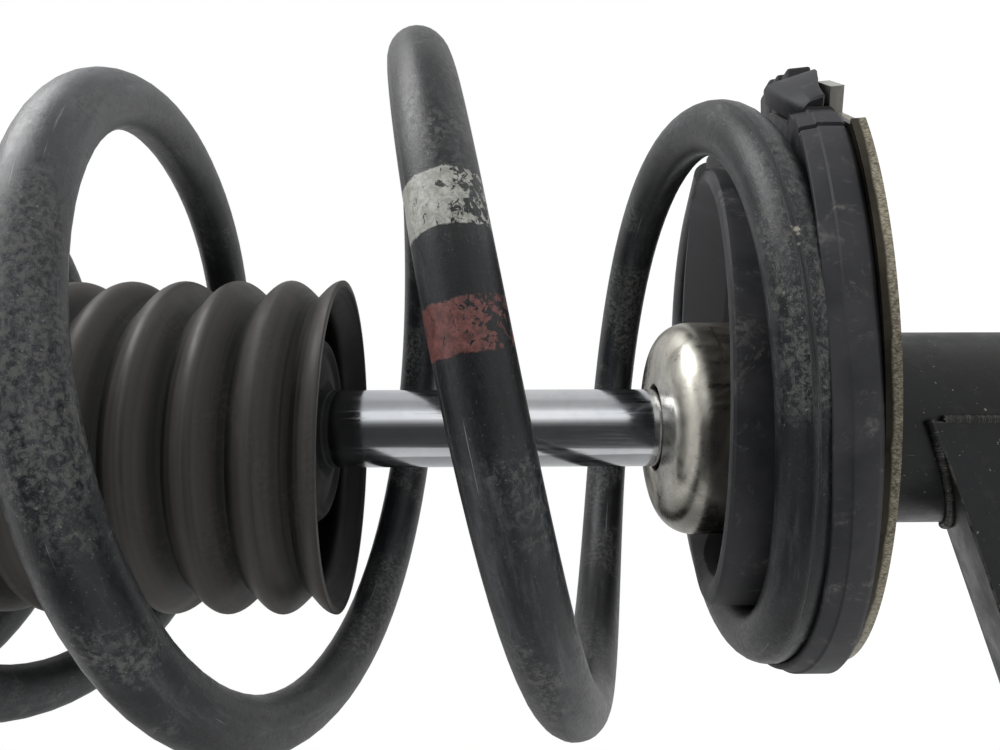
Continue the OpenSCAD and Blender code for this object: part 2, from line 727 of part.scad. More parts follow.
module lower_spring_pad() {
    steps = 48;
    wall = coil_seat_r * cos(180 / coil_rings) - wire_r - soft_gap;
    inner = wall - collar_wall;
    color([0.12, 0.12, 0.13]) {
        difference() {
            lofted_ring([for (i = [0 : steps - 1])
                let (az = 360 * i / steps, g = pad_groove(az), outer = pad_edge(az),
                     top = pad_point(wall, az, 0),
                     w = max(g + 5, collar_z(top[0], top[1]) - top[2]),
                     lip_in = lip_inner(az),
                     lip = min(lip_in, outer - 2.4), lip_h = clamp01((outer - lip_in) / 3) * 4)
                [pad_point(inner, az, 0), pad_point(inner, az, w - 2), pad_point(inner + 1.8, az, w),
                 pad_point(wall - 1.5, az, w), pad_point(wall, az, w - 2), pad_point(wall, az, g + 3),
                 pad_point(wall + 2.5, az, g), pad_point(lip - 2, az, g),
                 pad_point(lip, az, g + lip_h), pad_point(outer - 1, az, g + lip_h),
                 pad_point(outer, az, g + lip_h - 1.2), pad_point(outer, az, 0)]]);
            // Pocket that the wire's tip lies in
            translate(coil_point(0)) rotate([0, 0, coil_tip_angle + 180 / coil_rings])
                translate([-wire_r - 2 * soft_gap, -wire_d - soft_gap, -wire_r - 2 * soft_gap])
                    cube([wire_d + 4 * soft_gap, wire_d * 1.5, wire_d + 30]);
        }
        end_block();
    }
}

// Places children on the tilted seat
module on_seat() {
    translate([seat_x, seat_y, seat_z]) rotate([0, 0, seat_high_angle])
        rotate([0, -seat_tilt, 0]) rotate([0, 0, -seat_high_angle]) children();
}

// Stepped block moulded on the pad's rim, which keys into the notch in the seat
block_angle = 44;
notch_angle = 25;
notch_depth = 9;
notch_w = 70;
notch_side = 34;         // the part of the notch's width on one side of its angle
module end_block() {
    on_seat() difference() {
        rotate(block_angle) translate([seat_r - 16, 0, seat_t]) difference() {
            union() {
                translate([0, -4, -2]) cube([14.4, 16, 11]);
                translate([0, -1, -6]) cube([16, 10, 13]);
                translate([0, -12, 0]) cube([14, 9, 6.5]);
                translate([0, -20, 0]) cube([13.2, 9, 5.5]);
            }
            translate([11.5, -7, -1]) cube([10, 3.5, 12]);
            translate([9, -21, 4]) cube([10, 4, 6]);
        }
        // Room for the seat's plate behind the notch
        rotate(notch_angle) translate([0, -seat_r, -10])
            cube([seat_r - notch_depth + soft_gap, 2 * seat_r, 10 + seat_t]);
    }
}

module lower_spring_seat() {
    floor_r = coil_seat_r - wire_r - collar_wall - 9;
    low = seat_z - seat_dish;
    color([0.45, 0.44, 0.4]) difference() {
        union() {
            on_seat() {
                difference() {
                    turned([
                        [0, -seat_dish], [floor_r - 7, -seat_dish], [floor_r, 0],
                        [seat_r, 0], [seat_r, seat_t],
                        [floor_r - 1.2, seat_t], [floor_r - 8.2, seat_t - seat_dish],
                        [0, seat_t - seat_dish]]);
                    // Notch in the rim beside the pad's block
                    rotate(notch_angle) translate([seat_r - notch_depth, -notch_side, -1])
                        cube([2 * notch_depth, notch_w, seat_t + 2]);
                    // Drain holes in the dish
                    for (a = [60, 250]) rotate(a) translate([floor_r - 13, 0, -seat_dish - 1])
                        cylinder(d = 7, h = seat_t + 2, $fn = 32);
                }
                // Lug left standing in the notch
                rotate(notch_angle) translate([seat_r - 12, -16, 0]) cube([8.6, 14, seat_t]);
            }
            // Collar that is welded to the tube
            intersection() {
                ring(tube_r + press_gap, tube_r + seat_t + 0.6, low - 20, low + 20);
                on_seat() translate([-seat_r, -seat_r, -seat_dish - 5])
                    cube([2 * seat_r, 2 * seat_r, 5 + seat_t + 2]);
            }
        }
        translate([0, 0, seat_z - seat_r]) cylinder(r = tube_r + press_gap, h = 2 * seat_r);
    }
}

// ---------------------------------------------------------------- strut tube and inside
module striker_cap() {
    inner = cap_r - cap_wall;
    low = cap_z - cap_len;
    hole = rod_r + 1.2;
    k = cap_shoulder;
    crimp_depth = inner - tube_r - press_gap;
    crimp_top = cap_z - k - 4;
    arc = [for (a = [80 : -10 : 0]) [cap_r - k + k * cos(a), cap_z - k + k * sin(a)]];
    inside = [for (a = [0 : 10 : 80])
        [cap_r - k + (k - cap_wall) * cos(a), cap_z - k + (k - cap_wall) * sin(a)]];
    module crimps(r0, r1, low_z, high_z, w) {
        for (i = [0 : cap_crimps - 1]) rotate(cap_turn + 360 * i / cap_crimps) intersection() {
            ring(r0, r1, low_z, high_z);
            translate([0, -w / 2, low_z - 1]) cube([cap_r + 5, w, high_z - low_z + 2]);
        }
    }
    color([0.5, 0.5, 0.48]) {
        difference() {
            turned(concat(
                [[hole, cap_z + 0.6]], arc,
                [[cap_r, low + 1], [cap_r + 0.8, low], [inner, low]],
                inside, [[hole, cap_z - cap_wall + 0.6]]));
            crimps(cap_r - crimp_depth, cap_r + 5, low + 3, crimp_top, cap_crimp_w);
        }
        crimps(tube_r + press_gap, cap_r - crimp_depth + eps, low + 3 - eps, crimp_top + eps,
               cap_crimp_w + 2 * cap_wall);
    }
}

module strut_tube() {
    color([0.12, 0.12, 0.13]) turned([
        [tube_bore_r, tube_bottom], [tube_r, tube_bottom], [tube_r, tube_top - tube_roll],
        [tube_r - tube_roll, tube_top], [lip_r, tube_top], [lip_r, tube_top - lip_t],
        [tube_bore_r, tube_top - lip_t]]);
}

module oil_seal() {
    color([0.15, 0.12, 0.1]) turned([
        [rod_r + rod_clearance, guide_top + 0.5], [rod_r + 2, guide_top], [tube_bore_r - press_gap, guide_top],
        [tube_bore_r - press_gap, seal_top], [rod_r + 5, seal_top], [rod_r + 3.5, seal_top - 2],
        [rod_r + 1.5, seal_top + 1.2], [rod_r + rod_clearance, seal_top + 1.2]]);
}

module rod_guide() {
    pocket = rod_r + guide_bush_wall + rod_clearance;
    spigot = bore_r + pressure_wall;
    color([0.45, 0.45, 0.46]) turned([
        [pocket, guide_bottom], [bore_r - press_gap, guide_bottom], [bore_r - press_gap, guide_bottom + spigot_h],
        [spigot, guide_bottom + spigot_h], [spigot + 2, guide_bottom + spigot_h + 2],
        [tube_bore_r - press_gap, guide_bottom + spigot_h + 5], [tube_bore_r - press_gap, guide_top],
        [pocket, guide_top]]);
}

module guide_bush() {
    color([0.6, 0.45, 0.3]) ring(rod_r + rod_clearance, rod_r + guide_bush_wall + rod_clearance,
                                 guide_bottom + 2, guide_top - 1);
}

module pressure_tube() {
    color([0.5, 0.52, 0.55])
        ring(bore_r, bore_r + pressure_wall, foot_top - 4, guide_bottom + spigot_h);
}

module foot_valve() {
    spigot = bore_r - press_gap;
    flange = bore_r + pressure_wall + 0.6;
    port_circle = bore_r * 0.62;
    color([0.42, 0.43, 0.45]) difference() {
        turned([[0, foot_bottom + 4], [flange - 6, foot_bottom + 4], [flange - 6, foot_bottom],
                [flange, foot_bottom], [flange, foot_top - 4], [spigot, foot_top - 4],
                [spigot, foot_top - 1], [spigot - 1, foot_top], [0, foot_top]]);
        for (i = [0 : 5]) rotate(60 * i) translate([port_circle, 0, foot_bottom])
            cylinder(r = 1.6, h = foot_h + 1, $fn = 24);
        for (i = [0 : 3]) rotate(90 * i + 45)
            translate([flange - 8, -2.5, foot_bottom - 1]) cube([10, 5, 4]);
        translate([0, 0, foot_bottom]) cylinder(r = 2.5 + press_gap, h = foot_h + 1, $fn = 32);
    }
}

module foot_valve_plate() {
    color("lightsteelblue") turned([
        [0, foot_bottom + 2], [5, foot_bottom + 2], [5, foot_bottom + 4], [2.5, foot_bottom + 4],
        [2.5, foot_top], [bore_r * 0.62 + 3, foot_top], [bore_r * 0.62 + 3, foot_top + 0.8],
        [4.5, foot_top + 0.8], [4.5, foot_top + 2.4], [0, foot_top + 2.4]]);
}

module base_cap() {
    r = tube_bore_r - press_gap;
    color([0.12, 0.12, 0.13]) turned([
        [0, tube_bottom - 4], [r - 8, tube_bottom - 3], [tube_r - 1, tube_bottom - 1.5], [tube_r, tube_bottom],
        [r, tube_bottom], [r, tube_bottom + base_h], [0, tube_bottom + base_h]]);
}

// ---------------------------------------------------------------- brackets
// Side view of the clevis: tall on the tube, waisted between the holes
module clevis_side() {
    top = clevis_top;
    low = clevis_low;
    hole_top = clevis_mid + clevis_spacing / 2;
    hole_low = clevis_mid - clevis_spacing / 2;
    pad = clevis_hole_d / 2 + 9;
    difference() {
        union() {
            polygon([[-tube_r - clevis_t - 1, low + 10], [0, low], [clevis_reach, low + 4],
                     [clevis_reach, top - 4], [0, top], [-tube_r - clevis_t - 1, top - 10]]);
            for (z = [hole_top, hole_low]) translate([clevis_reach, z]) circle(r = pad);
            translate([clevis_reach, hole_low]) square([pad - 5, hole_top - hole_low]);
        }
        translate([ear_edge + 9, clevis_mid]) circle(r = 16);
    }
}

module clevis_plan() {
    ear = clevis_gap / 2;
    difference() {
        union() {
            circle(r = tube_r + press_gap + clevis_t);
            translate([0, -ear - clevis_t]) square([ear_edge + 2, clevis_gap + 2 * clevis_t]);
        }
        circle(r = tube_r + press_gap);
        translate([0, -ear]) square([ear_edge + 20, clevis_gap]);
    }
}

module knuckle_clevis() {
    ear = clevis_gap / 2;
    color([0.13, 0.13, 0.14]) difference() {
        union() {
            intersection() {
                translate([0, 0, clevis_low - 2]) linear_extrude(clevis_h + 4) clevis_plan();
                rotate([90, 0, 0]) translate([0, 0, -tube_d])
                    linear_extrude(2 * tube_d) clevis_side();
            }
            // Raised bosses round the holes
            for (z = [-1, 1]) for (s = [-1, 1])
                translate([clevis_reach, s * (ear + clevis_t / 2), clevis_mid + z * clevis_spacing / 2])
                    rotate([90, 0, 0]) translate([0, 0, s > 0 ? -clevis_t / 2 - 1.2 : clevis_t / 2 - 1])
                        cylinder(d = clevis_hole_d + 10, h = 2.2);
        }
        for (z = [-1, 1])
            translate([clevis_reach, 0, clevis_mid + z * clevis_spacing / 2]) rotate([90, 0, 0])
                cylinder(d = clevis_hole_d, h = 3 * tube_d, center = true);
    }
}

// Plate welded between the ears, close to the tube
module clevis_web() {
    ear = clevis_gap / 2 - press_gap;
    color([0.13, 0.13, 0.14]) difference() {
        translate([tube_r + 1, -ear, clevis_low + 12]) cube([clevis_t, 2 * ear, clevis_h - 24]);
        translate([tube_r, 0, clevis_mid]) rotate([0, 90, 0]) cylinder(d = clevis_gap / 2, h = clevis_t + 3);
    }
}

link_t = 3;
link_top = seat_z - link_room;
link_w = 28;
link_len = 60;
link_hole_edge = 18;     // from the bracket's outer edge in to its hole
link_hole_drop = 41;     // from the bracket's top down to its hole
link_block = 2 * (link_reach + tube_r); // a block that takes in the whole bracket
link_slope = 16.5;       // fall of the channel's web, outwards
link_fall = 19;          // fall of the channel's web, across

// Side outline of the channel
module link_side() {
    top = link_top;
    low = top - link_len;
    polygon([[-1, top + 20], [link_reach - 8, top + 20], [link_reach, top - 24], [link_reach, low + 16],
             [link_reach - 5, low + 6], [link_reach - 16, low], [tube_r + 4, low + 4], [tube_r - 4, low + 10],
             [-1, low + 16]]);
}

// Pressed channel for the stabiliser link: two cheeks and a sloping web
module link_bracket() {
    near = tube_r + 1.2;
    hole_r = link_reach - link_hole_edge;
    hole_z = link_top - link_hole_drop;
    rotate(link_angle) color([0.13, 0.13, 0.14]) difference() {
        intersection() {
            translate([0, near, 0]) rotate([90, 0, 0]) linear_extrude(link_w) link_side();
            // Everything under the web's sloping face
            translate([0, near, link_top]) rotate([link_fall, link_slope, 0])
                translate([-link_block / 2, -link_block / 2, -link_block]) cube(link_block);
            union() {
                translate([-link_block / 2, near - link_t, link_top - link_block / 2])
                    cube([link_block, link_t, link_block]);
                translate([-link_block / 2, near - link_w, link_top - link_block / 2])
                    cube([link_block, link_t, link_block]);
                translate([0, near, link_top]) rotate([link_fall, link_slope, 0])
                    translate([-link_block / 2, -link_block / 2, -link_t]) cube([link_block, link_block, link_t]);
            }
        }
        translate([0, 0, link_top - link_block / 2]) cylinder(r = tube_r + press_gap, h = link_block);
        translate([hole_r, near - link_w - 5, hole_z]) rotate([-90, 0, 0])
            cylinder(d = link_hole_d, h = link_w + 10);
    }
}

hose_t = 2.5;            // sheet thickness of the tab
hose_w = 22;             // width of the tab
hose_reach = 26;         // reach of the tab's round end from the tube
hose_foot = 18;          // height of the tab's foot on the tube

// Bent tab that holds a brake hose clip
module hose_bracket() {
    z = clevis_top + hose_rise;
    t = hose_t;
    reach = tube_r + hose_reach;
    w = hose_w;
    fall = hose_foot;
    rotate(150) color([0.13, 0.13, 0.14]) difference() {
        union() {
            translate([tube_r - 4, -w / 2, z]) cube([reach - tube_r - w / 2 + 4, w, t]);
            translate([reach - w / 2, 0, z]) cylinder(d = w, h = t);
            translate([tube_r - 4, -w / 2, z - fall]) cube([4 + t, w, fall + t]);
        }
        translate([0, 0, z - fall - t]) cylinder(r = tube_r + press_gap, h = fall + 3 * t);
        translate([reach - w / 2, 0, z - 1]) cylinder(d = hose_hole_d, h = t + 2);
    }
}

top_mount_plate();
top_mount_studs();
top_mount_rubber();
top_mount_sleeve();
rebound_washer();
rod_nut();
bump_stop_cup();
bump_stop();
bearing_upper_race();
bearing_cage();
bearing_balls();
bearing_lower_race();
upper_spring_seat();
upper_spring_pad();
dust_boot();
piston_rod();
rebound_ring();
rebound_bumper();
piston();
piston_band();
piston_valve_discs();
piston_nut();
coil_spring();
lower_spring_pad();
lower_spring_seat();
striker_cap();
strut_tube();
oil_seal();
rod_guide();
guide_bush();
pressure_tube();
foot_valve();
foot_valve_plate();
base_cap();
knuckle_clevis();
clevis_web();
link_bracket();
hose_bracket();
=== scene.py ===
# %% [markdown]
# # Dressing a MacPherson strut
#
# A strut is a damper, a coil spring and a top mount in one unit. The construction model gives
# every piece its place and size; this lesson gives the pieces their looks. All of them could
# be modelled anew, but rigid pieces whose shape is already right keep their meshes and only
# get a finish. Rubber pieces, the wound spring and the pressed steel that one sees from close
# by are built again with rounder edges.

# %% Load the construction model
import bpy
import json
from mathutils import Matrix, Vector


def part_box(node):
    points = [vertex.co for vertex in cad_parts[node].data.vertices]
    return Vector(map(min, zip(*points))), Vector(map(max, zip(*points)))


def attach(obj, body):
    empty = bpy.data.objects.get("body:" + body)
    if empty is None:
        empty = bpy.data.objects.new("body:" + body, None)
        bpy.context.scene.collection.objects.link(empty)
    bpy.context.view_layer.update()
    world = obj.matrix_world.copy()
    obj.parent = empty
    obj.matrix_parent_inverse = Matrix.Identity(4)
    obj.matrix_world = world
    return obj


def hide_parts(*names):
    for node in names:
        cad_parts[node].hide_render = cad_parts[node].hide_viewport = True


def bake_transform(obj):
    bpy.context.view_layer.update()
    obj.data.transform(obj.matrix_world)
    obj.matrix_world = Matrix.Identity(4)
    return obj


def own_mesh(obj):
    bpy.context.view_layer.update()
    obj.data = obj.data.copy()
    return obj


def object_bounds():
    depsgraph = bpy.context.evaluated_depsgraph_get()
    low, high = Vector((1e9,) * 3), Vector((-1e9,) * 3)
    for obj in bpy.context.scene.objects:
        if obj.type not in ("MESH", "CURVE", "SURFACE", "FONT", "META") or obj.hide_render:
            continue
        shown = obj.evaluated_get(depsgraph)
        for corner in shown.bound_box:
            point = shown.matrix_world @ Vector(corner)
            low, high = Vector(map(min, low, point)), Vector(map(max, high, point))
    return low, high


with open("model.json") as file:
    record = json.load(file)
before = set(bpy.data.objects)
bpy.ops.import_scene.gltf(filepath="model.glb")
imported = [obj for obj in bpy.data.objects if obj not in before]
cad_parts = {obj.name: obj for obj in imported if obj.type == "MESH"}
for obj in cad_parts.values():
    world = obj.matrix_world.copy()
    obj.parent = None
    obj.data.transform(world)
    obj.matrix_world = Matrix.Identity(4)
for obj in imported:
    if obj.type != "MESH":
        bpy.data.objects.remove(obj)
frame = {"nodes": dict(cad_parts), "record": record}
cad_box = [list(corner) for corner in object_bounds()]

import json
from functools import partialmethod
from math import acos, atan2, cos, degrees, hypot, inf, pi, radians, sin, sqrt, tan
from types import SimpleNamespace as Sizes

import bmesh
import bpy
import numpy as np
from mathutils import Matrix, Vector

MM = 0.001
studio = bpy.context.scene
print("nodes:", len(frame["nodes"]), " box:", cad_box)

# %% [markdown]
# ## Small tools
#
# Blender stores colours as linear light, and a paint chart gives them as screen values, so
# one helper converts them. Shapes could be pushed about by hand in the viewport, but a mesh
# that is filled from points and faces can be repeated and changed by its numbers. Edges
# sharper than a limit stay crisp and the rest is shaded smooth, as on turned and pressed parts.

# %% Colours and meshes
def paint(code):
    """Linear colour from a six-digit screen colour."""
    screen = [int(code[i:i + 2], 16) / 255 for i in (0, 2, 4)]
    return [c / 12.92 if c <= 0.04045 else ((c + 0.055) / 1.055) ** 2.4 for c in screen] + [1.0]


def shade(mesh, crisp):
    mesh.shade_smooth()
    mesh.set_sharp_from_angle(angle=radians(crisp))


def add_object(name, data):
    obj = bpy.data.objects.new(name, data)
    studio.collection.objects.link(obj)
    return obj


def build(name, points, faces, crisp=32):
    """An object at the origin whose mesh holds its place."""
    mesh = bpy.data.meshes.new(name)
    mesh.from_pydata([tuple(p) for p in points], [], faces)
    mesh.validate()
    work = bmesh.new()
    work.from_mesh(mesh)
    bmesh.ops.remove_doubles(work, verts=work.verts, dist=1e-7)
    bmesh.ops.recalc_face_normals(work, faces=work.faces)
    work.to_mesh(mesh)
    work.free()
    shade(mesh, crisp)
    return add_object(name, mesh)


def merge(first, *others):
    """Puts the meshes of other objects into the first one."""
    work = bmesh.new()
    for obj in (first, *others):
        work.from_mesh(obj.data)
    work.to_mesh(first.data)
    work.free()
    for obj in others:
        bpy.data.objects.remove(obj)
    return first


def soft_box(name, low, size, edge, shape):
    """A block with rounded edges, in mm; shape moves its points to their place."""
    work = bmesh.new()
    bmesh.ops.create_cube(work, size=1)
    for vert in work.verts:
        vert.co = [l + (c + 0.5) * d for l, c, d in zip(low, vert.co, size)]
    bmesh.ops.bevel(work, geom=list(work.edges), offset=edge, segments=3, profile=0.5,
                    affect="EDGES", clamp_overlap=True)
    work.verts.index_update()
    points = np.array([vert.co[:] for vert in work.verts])
    faces = [[vert.index for vert in face.verts] for face in work.faces]
    work.free()
    return build(name, shape(points) * MM, faces)


print("tools ready; black paint is", [round(c, 4) for c in paint("1a1b1c")[:3]])

# %% [markdown]
# ## Outlines with rounded corners
#
# Moulded rubber and pressed steel have no knife edges. A Bevel modifier could round them, but
# by one width for all. Here an outline is written as corners with a rounding each, every corner
# becomes a short arc, and the outline is then turned round the axis or lofted along a path.

# %% Rounded outlines, turned shapes and lofts
def polar(r, a, z):
    """A place from its radius, its angle in radians and its height."""
    return r * cos(a), r * sin(a), z


def rounded(corners, steps=3):
    """Corners (x, y, radius) to a list of points, each corner an arc that fits its sides."""
    out = []
    for i, (x, y, radius) in enumerate(corners):
        here = np.array([x, y])
        back = np.array(corners[i - 1][:2]) - here
        on = np.array(corners[(i + 1) % len(corners)][:2]) - here
        la, lb = np.linalg.norm(back), np.linalg.norm(on)
        if radius <= 0 or la < 1e-9 or lb < 1e-9:
            out.append(here)
            continue
        back, on = back / la, on / lb
        half = acos(max(-1, min(1, float(back @ on)))) / 2
        reach = min(radius / max(tan(half), 1e-3), 0.49 * la, 0.49 * lb)
        out += [here + back * reach * (1 - t) ** 2 + on * reach * t ** 2
                for t in np.arange(steps + 1) / steps]
    return np.array(out)


def ring_faces(rows, columns, closed_rows=True):
    """Quads of a grid that closes round its columns, and round its rows if asked."""
    last = rows if closed_rows else rows - 1
    return [(i * columns + k, i * columns + (k + 1) % columns,
             (i + 1) % rows * columns + (k + 1) % columns, (i + 1) % rows * columns + k)
            for i in range(last) for k in range(columns)]


def stack_faces(rows, columns, start=0):
    """Faces of a closed solid from a stack of rings, with a cap at each end."""
    top = (rows - 1) * columns
    caps = [tuple(range(columns))[::-1], tuple(range(top, top + columns))]
    return [tuple(start + k for k in face) for face in ring_faces(rows, columns, False) + caps]


def turned(name, corners, steps, crisp=32, shape=lambda points: points):
    """A ring turned round the strut's axis from corners (radius, height, rounding) in mm."""
    line = rounded(corners, 4)
    points = [polar(r, a, z) for a in np.linspace(0, 2 * pi, steps, endpoint=False)
              for r, z in line]
    return build(name, shape(np.array(points)) * MM, ring_faces(steps, len(line)), crisp)


def loft(name, section, azimuths, place=polar):
    """A ring through a rounded section per azimuth; place sets radius, angle and height."""
    rows = [place(r, radians(az), h) for az in azimuths for r, h in rounded(section(az))]
    steps = len(azimuths)
    return build(name, np.array(rows) * MM, ring_faces(steps, len(rows) // steps))


print("a rounded square has", len(rounded([(0, 0, 1), (9, 0, 1), (9, 9, 1), (0, 9, 1)])), "points")

# %% [markdown]
# ## A short way to write node trees
#
# A finish is laid on like paint: a ground colour, then one layer over another. It could be an
# image wrapped round the piece, but a node tree on the Principled shader stays sharp from close
# by and needs no unwrapping. These helpers add a node with its settings and links in one call.
# Patterns read Object coordinates in metres, so a scale of 1000 gives spots of about a
# millimetre.

# %% Node helpers
class Nodes:
    """A node tree; kinds of nodes are written without the family's name."""
    family = "ShaderNode"

    def __init__(self, tree):
        self.tree = tree

    def join(self, socket, value):
        if isinstance(value, bpy.types.NodeSocket):
            self.tree.links.new(value, socket)
        else:
            socket.default_value = value

    def node(self, kind, sockets=(), **settings):
        node = self.tree.nodes.new(kind if "Node" in kind else self.family + kind)
        for key, value in settings.items():
            setattr(node, key, value)
        for key, value in dict(sockets).items():
            self.join(node.inputs[key], value)
        return node

    def add(self, kind, sockets=(), output=0, **settings):
        """Adds a node and gives one of its outputs."""
        return self.node(kind, sockets, **settings).outputs[output]

    def reckon(self, operation, a, b=0.0):
        return self.add("ShaderNodeMath", {0: a, 1: b}, operation=operation)

    times = partialmethod(reckon, "MULTIPLY")
    plus = partialmethod(reckon, "ADD")
    minus = partialmethod(reckon, "SUBTRACT")
    most = partialmethod(reckon, "MAXIMUM")


class Finish(Nodes):
    """A material under construction."""

    def __init__(self, name, **constants):
        self.material = bpy.data.materials.new(name)
        self.material.use_nodes = True
        super().__init__(self.material.node_tree)
        self.shader = self.tree.nodes["Principled BSDF"]
        for socket, value in constants.items():
            self.shader.inputs[socket.replace("_", " ")].default_value = value
        self.place = self.add("TexCoord", output="Object")

    def stretch(self, scale, where=None):
        """Coordinates in which a pattern is long where the scale is small."""
        return self.add("Mapping", {"Vector": where or self.place, "Scale": scale})

    def noise(self, scale, detail, rough, warp=0.0, where=None):
        return self.add("TexNoise", {"Vector": where or self.place, "Scale": scale,
                                     "Detail": detail, "Roughness": rough, "Distortion": warp})

    def levels(self, value, low, high, to_low=0.0, to_high=1.0):
        """Stretches a value between two levels; the ends are held."""
        return self.add("MapRange", {"Value": value, "From Min": low, "From Max": high,
                                     "To Min": to_low, "To Max": to_high},
                        interpolation_type="SMOOTHSTEP")

    def vector(self, operation, a, b=(0, 0, 0)):
        """Vector arithmetic; lengths, distances and dot products are plain numbers."""
        plain = operation in ("LENGTH", "DISTANCE", "DOT_PRODUCT")
        return self.add("VectorMath", {0: a, 1: b}, int(plain), operation=operation)

    def offset(self, centre):
        """The way from a place, and how long it is on the level."""
        way = self.vector("SUBTRACT", self.place, centre)
        return way, self.vector("LENGTH", self.vector("MULTIPLY", way, (1, 1, 0)))

    def facing(self):
        return self.add("NewGeometry", output="Normal")

    def worn_edge(self, reach):
        """1 on outer and inner corners, by how far a bevel of that reach turns the surface."""
        bevel = self.add("Bevel", {"Radius": reach}, samples=4)
        alike = self.vector("DOT_PRODUCT", bevel, self.facing())
        return self.levels(self.minus(1.0, alike), 0.02, 0.2)

    def mix(self, share, a, b):
        a, b = (paint(tone) if isinstance(tone, str) else tone for tone in (a, b))
        return self.add("Mix", {0: share, 6: a, 7: b}, 2, data_type="RGBA")

    def ground(self, pattern, low, high, dark, light):
        self.colour = self.mix(self.levels(pattern, low, high), dark, light)

    def layer(self, share, tone, most=1.0):
        """Lays a tone over the colour; most is how far it covers at full share."""
        self.colour = self.mix(self.times(share, most) if most < 1 else share, self.colour, tone)

    def metal(self, value):
        self.join(self.shader.inputs["Metallic"], value)

    def surface(self, shader):
        self.join(self.tree.nodes["Material Output"].inputs["Surface"], shader)

    def done(self, rough, *reliefs):
        """Joins colour, roughness and reliefs (pattern, depth in metres, strength)."""
        self.join(self.shader.inputs["Base Color"], self.colour)
        self.join(self.shader.inputs["Roughness"], rough)
        below = {}
        for height, depth, strength in reliefs:
            below = {"Normal": self.add("Bump", {"Height": height, "Distance": depth,
                                                 "Strength": strength, **below})}
        self.join(self.shader.inputs["Normal"], below["Normal"])
        return self.material


print("node helpers ready")

# %% [markdown]
# ## Black chassis paint
#
# The tube and the brackets are dipped in satin black paint. One flat colour would look like
# plastic, so the film is slightly uneven, dust dulls it in patches and fine scratches run over
# it. Bare steel shows on the corners, which a Bevel node finds without any extra mesh.

# %% Paint finish
def black_paint():
    f = Finish("black_paint", Specular_IOR_Level=0.3, Coat_Weight=0.05, Coat_Roughness=0.3)
    film = f.noise(55, 5, 0.6)
    dust = f.noise(160, 8, 0.72, 0.4)
    grain = f.noise(900, 5, 0.6)
    streak = f.noise(40, 6, 0.7, 0.3, f.stretch((14, 14, 1.2)))
    scratch = f.times(f.levels(streak, 0.665, 0.70), 0.55)
    chips = f.levels(f.noise(700, 3, 0.6), 0.69, 0.72)
    bare = f.times(f.worn_edge(0.0009), f.levels(f.noise(260, 6, 0.7), 0.42, 0.56))
    marks = f.most(scratch, f.most(chips, bare))
    f.ground(film, 0.35, 0.7, "101112", "1e2022")
    f.layer(f.levels(dust, 0.5, 0.72), "403e3a", 0.4)
    f.layer(marks, "8c8a84")
    f.metal(f.times(bare, 0.8))
    return f.done(f.levels(f.plus(film, f.times(dust, 0.6)), 0.5, 1.1, 0.3, 0.6),
                  (film, 0.0004, 0.35), (grain, 0.00008, 0.5), (marks, -0.00006, 0.6))


FINISHES = {"black_paint": black_paint()}
print("black paint:", len(FINISHES["black_paint"].node_tree.nodes), "nodes")

# %% [markdown]
# ## Worn spring coating
#
# The spring wire has a blue-grey powder coat. It is rubbed to a lighter, mottled grey where
# hands and stones touched it, thin scratches run along the wire, and two stripes of sorting
# paint, white and red-brown, have worn through to the coat. Object coordinates would cut
# straight through the turns, so the pattern reads the distance along the wire and the place
# round it, which the spring's mesh carries.

# %% Spring finish
WIRE_R = 6.5
# Start and end of a stripe along the wire in metres, its worn and its fresh tone
STRIPES = ((0.7494, 0.7590, "96968f", "c2c2bc"), (0.7311, 0.7391, "5a3937", "80504b"))
# Places and sizes of the chips in metres
CHIPS = ((0.0848, -0.0160, -0.2611, 0.0006), (0.0846, -0.0170, -0.2612, 0.0004),
         (0.0838, -0.0189, -0.2610, 0.0003), (0.0848, -0.0153, -0.2604, 0.0002))


